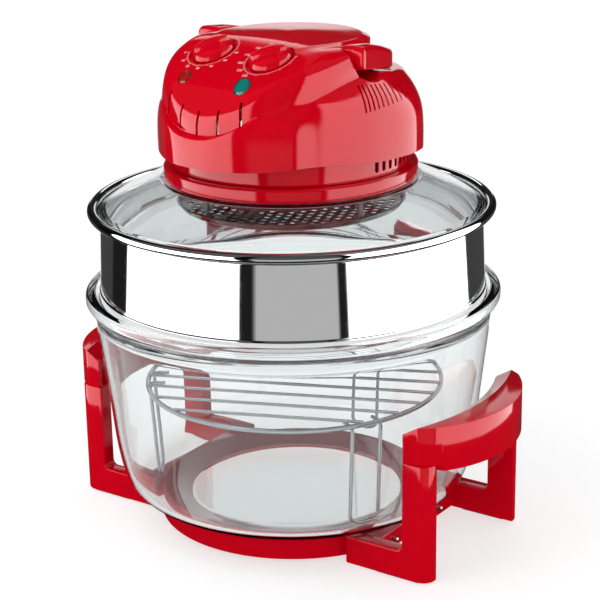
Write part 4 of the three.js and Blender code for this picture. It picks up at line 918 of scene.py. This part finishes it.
def makeCover():
    cover = makeCoverShell()
    v, g, above, below = dials, glandSeat, 9, -12
    cuts = []
    for side, r in ((-1, lenses["redR"]), (1, lenses["greenR"])):
        lipR = v["wellR"] + v["wellEdge"]
        well = rounded([(0, -v["wellDepth"]), (v["wellR"], -v["wellDepth"], 0.6), (v["wellR"], -0.5),
                        (lipR, 0.3), (lipR, above), (0, above)], closed=False)
        cuts.append(onPanel(lathe("well", well, 96), v, side))
        hole = [(0, below), (v["holeR"], below), (v["holeR"], 2), (0, 2)]
        cuts.append(onPanel(lathe("hole", hole, 32), v, side))
        hole = [(0, below), (r + lenses["rim"], below), (r + lenses["rim"], above), (0, above)]
        cuts.append(onPanel(lathe("lensHole", hole, 64), lenses, side))
    gland = lathe("glandHole", [(0, 0), (g["holeR"], 0), (g["holeR"], g["deep"]), (0, g["deep"])], 48)
    cuts.append(onHead(gland, 0, g["y"], g["z"], math.radians(90)))
    cover = cutSlots(cutSlots(carve(cover, cuts), grooves, mirrored=True), frontSlots)
    return dress(cover, redPlastic, "lid_and_head", ["upper_cover"], 38)


cover = makeCover()
print("cover")


# bail handle: an arm on each side with a round nose at the pivot, meeting behind the core

bailShape = {"inner": 66.5, "front": -14, "noseR": 5, "cornerR": 3, "edge": 2.6, "across": 20,
             "outer": [(90.9, -17), (90, -14), (84.3, 6), (78.2, 27), (75.7, 34), (71.4, 41.8), (62.4, 52.6),
                       (50, 64), (34, 74.5), (17, 81), (0, 83)],
             "low": ([-14, 34, 89.5], [385.8, 379.1, 375]),
             "high": ([-14, 5, 14, 24, 34, 60, 83], [403.9, 402.8, 401.2, 398.8, 395.6, 390.5, 386.2]),
             "crown": ([0, 0.24, 0.6, 0.87, 1], [1.6, 0.4, 0, 1.0, 2.6])}


def makeBail():
    v = bailShape
    width = v["across"]
    plan = np.array(smoothLine(v["outer"], 6))
    angles, reaches = np.arctan2(plan[:, 1], plan[:, 0]), np.hypot(plan[:, 0], plan[:, 1])

    def cornerCut(y, r):  # how far a rounded corner of the nose has moved in at station y
        near = max(r - (y - v["front"]), 0)
        return r - math.sqrt(r * r - min(near, r) ** 2)

    def heights(y):
        nose = cornerCut(y, v["noseR"])
        return np.interp(y, *v["low"]) + nose, np.interp(y, *v["high"]) - nose

    def section(y, turn, share):  # one closed loop: station y on the arm, or turned round the back
        low, high = heights(y)
        e = min(v["edge"], 0.45 * (high - low))
        loop = arc(width - e, e, e, -90, 0, 5) + arc(width - e, high - low - e, e, 0, 90, 5)
        loop += [(u, high - low) for u in np.linspace(width - e, e, 8)[1:-1]]
        loop += arc(e, high - low - e, e, 90, 180, 5) + arc(e, e, e, 180, 270, 5)
        outerTurn = (1 - share) * np.interp(y, plan[:, 1], angles) + share * turn
        reach = np.interp(outerTurn, angles, reaches)
        start = np.array([math.cos(turn), math.sin(turn)]) * v["inner"]
        end = np.array([math.cos(outerTurn), math.sin(outerTurn)]) * reach
        pinch = cornerCut(y, v["cornerR"]) / width
        points = []
        for u, h in loop:
            across = u / width
            flat = start + (end - start) * (pinch + across * (1 - 2 * pinch))
            lowHere, highHere = heights(flat[1]) if share > 0 else (low, high)
            drop = np.interp(across, *v["crown"]) * min(1, (high - low) / 12) * h / (high - low)
            points.append((flat[0], flat[1], lowHere + h * (highHere - lowHere) / (high - low) - drop))
        return points

    stations = [v["front"] + v["noseR"] * (1 - math.cos(a)) for a in np.linspace(0.15, math.pi / 2, 9)]
    turns = [math.asin(y / v["inner"]) for y in stations + [-5, 0, 5, 10, 16, 21]]
    turns += list(np.linspace(turns[-1], math.pi / 2, 26))[1:]
    half = []
    for turn in turns:
        share = np.clip((turn - 0.32) / 0.5, 0, 1)
        half.append(section(v["inner"] * math.sin(turn), turn, share * share * (3 - 2 * share)))
    other = [[(-x, y, z) for x, y, z in points] for points in half[-2::-1]]
    bail = loft("bailHandle", half + other, head=True)
    return dress(bail, redPlastic, "bail", ["bail_handle"], 40)


makeBail()


# knobs: a domed skirt with a leaf-shaped grip across it

knobShape = {"bottom": -1.6, "skirtR": 17, "crownZ": 7.6, "gripHalf": 14.2, "gripWidth": 9.4,
             "gripTop": 10.5, "timerDeg": 56, "thermostatDeg": 45}


def makeKnob(name, side, turnDeg):
    v = knobShape
    skirt = [(0, v["bottom"]), (v["skirtR"] - 0.5, v["bottom"]), (v["skirtR"], v["bottom"] + 0.6)]
    skirt += smoothLine([(16.9, 0.6), (16, 2.6), (14.2, 4.4), (10, 6.3), (5, 7.3), (0.01, v["crownZ"])], 5)[:-1]
    knob = lathe(name, skirt + [(0, v["crownZ"])], 96)
    sections = []
    for share in np.linspace(-0.985, 0.985, 25):
        half = v["gripWidth"] / 2 * (1 - abs(share) ** 3) ** 0.6 + 0.4
        top = v["gripTop"] - 2.6 * share * share
        right = [(half * 0.62, top - 0.55), (half * 0.92, top - 2), (half + 0.3, 5.2), (half + 1.0, 0.5)]
        profile = [(-y, z) for y, z in right[::-1]] + [(0, top)] + right
        sections.append([(share * v["gripHalf"], y, z) for y, z in smoothLine(profile, 4)])
    knob = carve(knob, [loft("grip", sections)], "UNION")
    bore = lathe("bore", [(0, -4), (3.3, -4), (3.3, 6.2), (0, 6.2)], 32)
    knob = evenShading(softened(carve(knob, [bore]), 0.5, 2, 28))
    onPanel(knob, dials, side, math.radians(turnDeg))
    kind = name[:-4]
    dress(knob, redPlastic, kind, [f"{kind}_knob"], 50)
    shaft = lathe(f"{kind}Shaft", rounded([(0, -9), (3, -9, 0.3), (3, 6.1, 0.4), (0, 6.1)], closed=False), 40)
    onPanel(shaft, dials, side)
    dress(shaft, zincSteel, kind, [f"{kind}_shaft"])


makeKnob("timerKnob", -1, knobShape["timerDeg"])
makeKnob("thermostatKnob", 1, knobShape["thermostatDeg"])


# lenses: cut like a jewel, in a thin dark bezel

def makeLens(name, side, r, material, node):
    outline = [(0, -6), (r, -6), (r, 0.2), (r * 0.78, 1.1), (r * 0.42, 1.5), (0, 1.6)]
    lens = onPanel(lathe(name, outline, 12), lenses, side, 0.2)
    dress(lens, material, "lid_and_head", [node], flat=True)
    rimR = r + lenses["rim"]
    rim = rounded([(r + 0.1, -1.5, 0.1), (rimR, -1.5, 0.1), (rimR, 0.5, 0.25), (r + 0.1, 0.5, 0.2)])
    dress(onPanel(lathe(f"{name}Rim", rim, 64), lenses, side), blackNylon, "lid_and_head")


makeLens("redLens", -1, lenses["redR"], redLens, "red_lens")
makeLens("greenLens", 1, lenses["greenR"], greenLens, "green_lens")
print("bail, knobs and lenses")


# dial scales: ticks in a ring and plain numbers, printed on the panel

def tickTree():  # a ring of thin bars, each fifth one long
    tree, given = newTree("tickRing", Count="Int", First="Float", Sweep="Float", Radius="Float", Length="Float",
                          Width="Float", Height="Float", Long_share="Float", Finish="Material")
    node = partial(addNode, tree)
    index = node("GeometryNodeInputIndex")
    last = node("ShaderNodeMath", (given["Count"], 1.0), operation="SUBTRACT")
    end = node("ShaderNodeMath", (given["First"], given["Sweep"]), operation="ADD")
    angle = node("ShaderNodeMapRange", (index, 0.0, last, given["First"], end))
    fifth = node("ShaderNodeMath", (node("ShaderNodeMath", (index, 5.0), operation="MODULO"), 0.5),
                 operation="LESS_THAN")
    scale = node("ShaderNodeMix", {0: fifth, 2: 1.0, 3: given["Long share"]})
    length = node("ShaderNodeMath", (scale, given["Length"]), operation="MULTIPLY")
    reach = node("ShaderNodeMath", (length, 0.5, given["Radius"]), operation="MULTIPLY_ADD")
    ways = [node("ShaderNodeMath", (angle,), operation=way) for way in ("COSINE", "SINE")]
    spot = [node("ShaderNodeMath", (reach, way), operation="MULTIPLY") for way in ways]
    row = node("GeometryNodeMeshLine", {"Count": given["Count"]})
    place = node("GeometryNodeSetPosition", {"Geometry": row, "Position": node("ShaderNodeCombineXYZ", spot)})
    size = node("ShaderNodeCombineXYZ", (given["Length"], given["Width"], given["Height"]))
    bars = node("GeometryNodeInstanceOnPoints", {
        "Points": place, "Instance": node("GeometryNodeMeshCube", {"Size": size}),
        "Rotation": node("ShaderNodeCombineXYZ", {"Z": angle}),
        "Scale": node("ShaderNodeCombineXYZ", (scale, 1.0, 1.0))})
    return endTree(tree, bars, given["Finish"])


scales = {"ticks": 61, "tickR": 20.6, "tickLength": 1.3, "tickWidth": 0.34, "longShare": 1.7, "numberR": 25.0,
          "numberHeight": 2.6, "thick": 0.06, "timer": (200, 27, [0, 10, 20, 30, 40, 50, 60]),
          "thermostat": (80, 25, [65, 100, 125, 150, 175, 200, 225, 250])}
tickRing = tickTree()
panelShape = BVHTree.FromPolygons([v.co for v in cover.data.vertices],
                                  [tuple(p.vertices) for p in cover.data.polygons])


def printOnPanel(obj, side):  # flat marks round a dial laid on the panel's real surface
    middle = Vector((side * dials["x"], dials["y"], dials["z"])) * mm
    place = (Matrix.Rotation(headTurn, 4, "Z") @ Matrix.Translation(middle) @
             Matrix.Rotation(dials["slope"], 4, "X"))
    down = (place.to_3x3() @ Vector((0, 0, -1))).normalized()
    for vertex in obj.data.vertices:
        high = place @ Vector((vertex.co.x, vertex.co.y, 0.01))
        hit = panelShape.ray_cast(high, down)[0]
        vertex.co = hit - down * (vertex.co.z + scales["thick"] * mm)
    return obj


def makeScale(name, side, firstDeg, stepDeg, numbers):
    v = scales
    marks = meshObject(f"{name}Ticks", [(0, 0, 0), (1, 0, 0), (0, 1, 0)], [(0, 1, 2)])
    cutRow(marks, tickRing, Count=v["ticks"], First=math.radians(firstDeg), Sweep=math.radians(300),
           Radius=v["tickR"] * mm, Length=v["tickLength"] * mm, Width=v["tickWidth"] * mm,
           Height=v["thick"] * mm, Long_share=v["longShare"], Finish=whiteInk)
    dress(printOnPanel(marks, side), whiteInk, "lid_and_head", flat=True)
    for i, number in enumerate(numbers):
        turn = math.radians(firstDeg + stepDeg * i)
        curve = bpy.data.curves.new("number", "FONT")
        curve.body, curve.size, curve.extrude = str(number), v["numberHeight"] * mm * 1.35, v["thick"] * mm / 2
        curve.align_x, curve.align_y, curve.resolution_u = "CENTER", "CENTER", 2
        text = bpy.data.objects.new("number", curve)
        bpy.context.scene.collection.objects.link(text)
        mesh = bpy.data.meshes.new_from_object(text.evaluated_get(bpy.context.evaluated_depsgraph_get()))
        bpy.data.objects.remove(text)
        spot = Vector((math.cos(turn), math.sin(turn), 0)) * v["numberR"] * mm
        mesh.transform(Matrix.Translation(spot))
        piece = bpy.data.objects.new(f"{name}Number_{number}", mesh)
        bpy.context.scene.collection.objects.link(piece)
        dress(printOnPanel(piece, side), whiteInk, "lid_and_head", flat=True)


makeScale("timer", -1, *scales["timer"])
makeScale("thermostat", 1, *scales["thermostat"])
print("dial scales")


# heater under the lid: perforated guard, reflector, ring lamp, standoffs

def holeTree():  # staggered round holes inside a circle, cut through a flat plate
    tree, given = newTree("staggeredHoles", Pitch="Float", Columns="Int", Rows="Int", Hole_radius="Float",
                          Within="Float", Beyond="Float", Height="Float", Finish="Material")
    node = partial(addNode, tree)
    rowPitch = node("ShaderNodeMath", (given["Pitch"], math.sqrt(0.75)), operation="MULTIPLY")
    gaps = [node("ShaderNodeMath", (given[key], 1.0), operation="SUBTRACT") for key in ("Columns", "Rows")]
    grid = node("GeometryNodeMeshGrid", {
        "Size X": node("ShaderNodeMath", (given["Pitch"], gaps[0]), operation="MULTIPLY"),
        "Size Y": node("ShaderNodeMath", (rowPitch, gaps[1]), operation="MULTIPLY"),
        "Vertices X": given["Columns"], "Vertices Y": given["Rows"]})
    spot = node("GeometryNodeInputPosition")
    row = node("ShaderNodeMath", (node("ShaderNodeSeparateXYZ", (spot,)).outputs["Y"], rowPitch),
               operation="DIVIDE")
    odd = node("ShaderNodeMath", (node("ShaderNodeMath", (row,), operation="ROUND"), 2.0), operation="MODULO")
    odd = node("ShaderNodeMath", (odd,), operation="ABSOLUTE")
    half = node("ShaderNodeMath", (given["Pitch"], 0.5), operation="MULTIPLY")
    shift = node("ShaderNodeMath", (odd, half), operation="MULTIPLY")
    moved = node("GeometryNodeSetPosition", {"Geometry": grid, "Offset": node("ShaderNodeCombineXYZ", {
        "X": shift, "Z": given["Height"]})})
    flat = node("ShaderNodeVectorMath", (spot, (1, 1, 0)), operation="MULTIPLY")
    reach = node("ShaderNodeVectorMath", (flat,), operation="LENGTH").outputs["Value"]
    outside = [node("ShaderNodeMath", (reach, given[key]), operation=way)
               for key, way in (("Within", "GREATER_THAN"), ("Beyond", "LESS_THAN"))]
    outside = node("ShaderNodeMath", outside, operation="ADD")
    kept = node("GeometryNodeDeleteGeometry", {"Geometry": moved, "Selection": outside})
    drill = node("GeometryNodeMeshCylinder", {"Vertices": 20, "Depth": 0.006, "Radius": given["Hole radius"]})
    drills = node("GeometryNodeInstanceOnPoints", {"Points": kept, "Instance": drill})
    real = node("GeometryNodeRealizeInstances", (drills,))
    cut = node("GeometryNodeMeshBoolean", (given["Geometry"], real), operation="DIFFERENCE", solver="MANIFOLD")
    return endTree(tree, cut, given["Finish"])


def wireTree():  # a round wire along each line of the mesh it is given
    tree, given = newTree("wireAlong", Wire_radius="Float", Sides="Int", Finish="Material")
    node = partial(addNode, tree)
    line = node("GeometryNodeMeshToCurve", (given["Geometry"],))
    ring = node("GeometryNodeCurvePrimitiveCircle", {
        "Resolution": given["Sides"], "Radius": given["Wire radius"]})
    tube = node("GeometryNodeCurveToMesh", {"Fill Caps": True, "Curve": line, "Profile Curve": ring})
    return endTree(tree, tube, given["Finish"])


staggered, alongLine = holeTree(), wireTree()


def wires(name, lines, radius, finish, sides=16, loops=()):  # open lines, and loops, of points in mm
    verts, edges = [], []
    for points, closed in [(line, False) for line in lines] + [(loop, True) for loop in loops]:
        start, n = len(verts), len(points)
        verts += [tuple(c * mm for c in p) for p in points]
        edges += [(start + i, start + (i + 1) % n) for i in range(n if closed else n - 1)]
    mesh = bpy.data.meshes.new(name)
    mesh.from_pydata(verts, edges, [])
    obj = bpy.data.objects.new(name, mesh)
    bpy.context.scene.collection.objects.link(obj)
    return cutRow(obj, alongLine, Wire_radius=radius * mm, Sides=sides, Finish=finish)


heater = {"guardRim": 92.3, "guardTop": 271, "sheet": 1, "guardBottom": 265, "flatR": 88.4, "pitch": 9.2,
          "columns": 23, "rows": 25, "holeR": 2.9, "within": 83, "beyond": 5, "lampR": 76, "tubeR": 4.5,
          "lampZ": 282.6, "gapAt": 217, "gap": 26, "standoffAt": 84.2, "firstDeg": -8}


def makeHeater():
    v = heater
    s, low, top = v["sheet"], v["guardBottom"], v["guardTop"]
    rim, flat = v["guardRim"], v["flatR"]
    dish = rounded([(0, low), (flat, low, 4), (rim - 0.7, top - 0.9, 0.3), (rim, top - 0.5, 0.2),
                    (rim, top, 0.25), (rim - s - 0.7, top, 0.3), (flat - s * 0.7, low + s, 3),
                    (0, low + s)], closed=False)
    guard = lathe("guardDish", dish, 160)
    guard = cutRow(guard, staggered, Pitch=v["pitch"] * mm, Columns=v["columns"], Rows=v["rows"],
                   Hole_radius=v["holeR"] * mm, Within=v["within"] * mm, Beyond=v["beyond"] * mm,
                   Height=(low + s / 2) * mm, Finish=heatedSteel)
    guard.data.transform(Matrix.Rotation(headTurn, 4, "Z"))
    dress(guard, heatedSteel, "lid_and_head", ["guard_dish"], 40)
    plate = rounded([(6, 292.6, 0.3), (89.8, 292.6, 0.4), (89.8, 291.8, 0.3), (91, 291.8, 0.3),
                     (91, 293.8, 0.8), (6, 293.8, 0.3)])
    plate = lathe("reflectorPlate", plate, 160, head=True)
    dress(plate, mirrorSteel, "lid_and_head", ["reflector_plate"])
    turns = np.radians(v["gapAt"] + v["gap"] / 2 + np.linspace(0, 360 - v["gap"], 140)) + headTurn
    line = [(v["lampR"] * math.cos(a), v["lampR"] * math.sin(a), v["lampZ"]) for a in turns]
    tube = wires("halogenLamp", [line], v["tubeR"], lampQuartz, 24)
    dress(tube, lampQuartz, "lid_and_head", ["halogen_lamp"], 50)
    for i in range(4):
        turn = math.radians(v["firstDeg"] + 90 * i)
        post = rounded([(0, 266.3), (2.4, 266.3), (3, 267, 0.3), (3, 270.5, 0.3), (2.4, 271.2, 0.2),
                        (2.4, 287.4, 0.2), (3, 288.1, 0.3), (3, 292.3, 0.4), (0, 292.3)], closed=False)
        post = lathe(f"standoff_{i + 1}", post, 32)
        onHead(post, v["standoffAt"] * math.cos(turn), v["standoffAt"] * math.sin(turn), 0)
        dress(post, zincSteel, "lid_and_head", [f"standoff_{i + 1}"])


makeHeater()
print("heater")


# wire rack: ring, nine cross wires, and three legs hooked over to the inside

rackShape = {"ringR": 122.5, "wireR": 2, "z": 116.8, "crosses": 9, "spacing": 24, "crossR": 1.3, "turnDeg": 22,
             "legWidth": 25, "legFootR": 116, "legTopR": 120.6, "legFootZ": 30.2, "legTopZ": 115.2, "legR": 1.5,
             "legDeg": -28, "hook": 13, "bend": 4}


def makeRack():
    v = rackShape
    loop = [(v["ringR"] * math.cos(a), v["ringR"] * math.sin(a), v["z"])
            for a in np.linspace(0, 2 * math.pi, 180, endpoint=False)]
    ring = wires("rackRing", [], v["wireR"], chromeWire, 16, [loop])
    turn = math.radians(v["turnDeg"])
    c, s = math.cos(turn), math.sin(turn)
    lines = []
    for i in range(v["crosses"]):
        across = (i - (v["crosses"] - 1) / 2) * v["spacing"]
        half = math.sqrt(v["ringR"] ** 2 - across ** 2)
        lines.append([(end * c - across * s, end * s + across * c, v["z"] + v["wireR"])
                      for end in (-half, half)])
    crosses = wires("crossWires", lines, v["crossR"], chromeWire, 12)
    joined = carve(ring, [crosses], "UNION")
    joined.name = "wireRack"
    dress(joined, chromeWire, "rack", ["wire_rack"], 50)
    half, lean = v["legWidth"] / 2, v["legTopR"] - v["legFootR"]
    for i in range(3):
        turn = math.radians(v["legDeg"] + 120 * i)
        flat = [(-v["hook"], v["legTopZ"]), (-v["bend"], v["legTopZ"])]
        flat += [(-v["bend"] + v["bend"] * math.sin(a), v["legTopZ"] - v["bend"] * (1 - math.cos(a)))
                 for a in np.linspace(0.3, math.pi / 2, 5)]
        side = [(v["legTopR"] + x, z) for x, z in flat]
        low = v["legFootZ"] + half * 0.6
        side += [(v["legTopR"] - lean * share, side[-1][1] + (low - side[-1][1]) * share) for share in (0.5, 1)]
        foot = [(half * math.cos(a), low - (low - v["legFootZ"]) * math.sin(a))
                for a in np.linspace(0.2, math.pi - 0.2, 13)]
        path = [(x, half, z) for x, z in side] + [(v["legFootR"], y, z) for y, z in foot]
        path += [(x, -half, z) for x, z in side[::-1]]
        c, s = math.cos(turn), math.sin(turn)
        path = [(c * x - s * y, s * x + c * y, z) for x, y, z in path]
        leg = wires(f"rackLeg_{i + 1}", [path], v["legR"], chromeWire, 12)
        dress(leg, chromeWire, "rack", [f"rack_leg_{i + 1}"], 60)


makeRack()
print("rack")


# rubber feet, screws, pins and the cord gland

smallParts = {"footX": (125, 165), "footY": (64, 73), "footHeight": 2.5, "screwZ": 11, "screwY": 35,
              "screwX": 109.4, "shankR": 2, "shank": 12, "headR": 4, "head": 2.4, "coverScrewR": 88,
              "coverScrewLow": 294.1}


def makeScrew(name, headR, head, shankR, shank):  # pan head with a cross in it, head down at z 0
    outline = rounded([(0, 0), (headR * 0.6, 0, 0.5), (headR, head * 0.45, 0.5), (headR, head, 0.2),
                       (shankR, head), (shankR, head + shank - 1), (shankR * 0.5, head + shank),
                       (0, head + shank)], closed=False)
    screw = lathe(name, outline, 32)
    arms = []
    for w, d in ((headR * 0.6, 0.35), (0.35, headR * 0.6)):
        arms.append(prism("arm", [(-w, -d), (w, -d), (w, d), (-w, d)], -1, head * 0.55))
    return carve(screw, arms)


def makeSmallParts():
    v = smallParts
    for side, sideName in ((-1, "left"), (1, "right")):
        for row, rowName in ((-1, "front"), (1, "rear")):
            (x0, x1), (y0, y1), which = v["footX"], v["footY"], f"{sideName}_{rowName}"
            outline = [(side * x, row * y, 2) for x, y in ((x0, y0), (x1, y0), (x1, y1), (x0, y1))]
            pad = prism(f"rubberFoot_{which}", rounded(outline, steps=6), 0, v["footHeight"])
            dress(softened(pad, 0.4, 2, 40), rubber, "stand", [f"rubber_foot_{which}"])
            screw = makeScrew(f"frameScrew_{which}", v["headR"], v["head"], v["shankR"], v["shank"])
            place = Vector((side * (v["screwX"] - 0.3), row * v["screwY"], v["screwZ"])) * mm
            screw.data.transform(Matrix.Translation(place) @ Matrix.Rotation(side * math.radians(90), 4, "Y"))
            dress(screw, zincSteel, "stand", [f"frame_screw_{which}"])
    for i in range(4):
        turn = math.radians(45 + 90 * i)
        screw = makeScrew(f"coverScrew_{i + 1}", 3.4, 1.8, 2, 14.2)
        onHead(screw, v["coverScrewR"] * math.cos(turn), v["coverScrewR"] * math.sin(turn), v["coverScrewLow"])
        dress(screw, zincSteel, "lid_and_head", [f"cover_screw_{i + 1}"])
    gland = rounded([(3.6, 95, 0.8), (8, 95, 0.6), (8, 107), (10.5, 107), (10.5, 110, 0.8), (3.6, 110, 1.2)])
    gland = onHead(lathe("cordGland", gland, 64), 0, 0, glandSeat["z"], math.radians(-90))
    dress(gland, blackNylon, "lid_and_head", ["cord_gland"])


makeSmallParts()

# pieces that stay as the frame has them, mostly out of sight
plainNodes = {
    blackNylon: ["timer_body", "thermostat_body", "micro_switch", "switch_plunger"],
    steatite: ["terminal_block", "lamp_holder_1", "lamp_holder_2"],
    aluminium: ["motor_body", "cooling_fan", "air_fan"],
    zincSteel: ["motor_bracket", "motor_shaft", "lamp_clip", "pivot_pin_left", "pivot_pin_right"]}
for finish, names in plainNodes.items():
    for name in names:
        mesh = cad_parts[name].data
        mesh.materials.clear()
        mesh.materials.append(finish)
print("small parts")


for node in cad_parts.values():
    if not node.hide_render and not node.data.materials:
        node.data.materials.append(zincSteel)
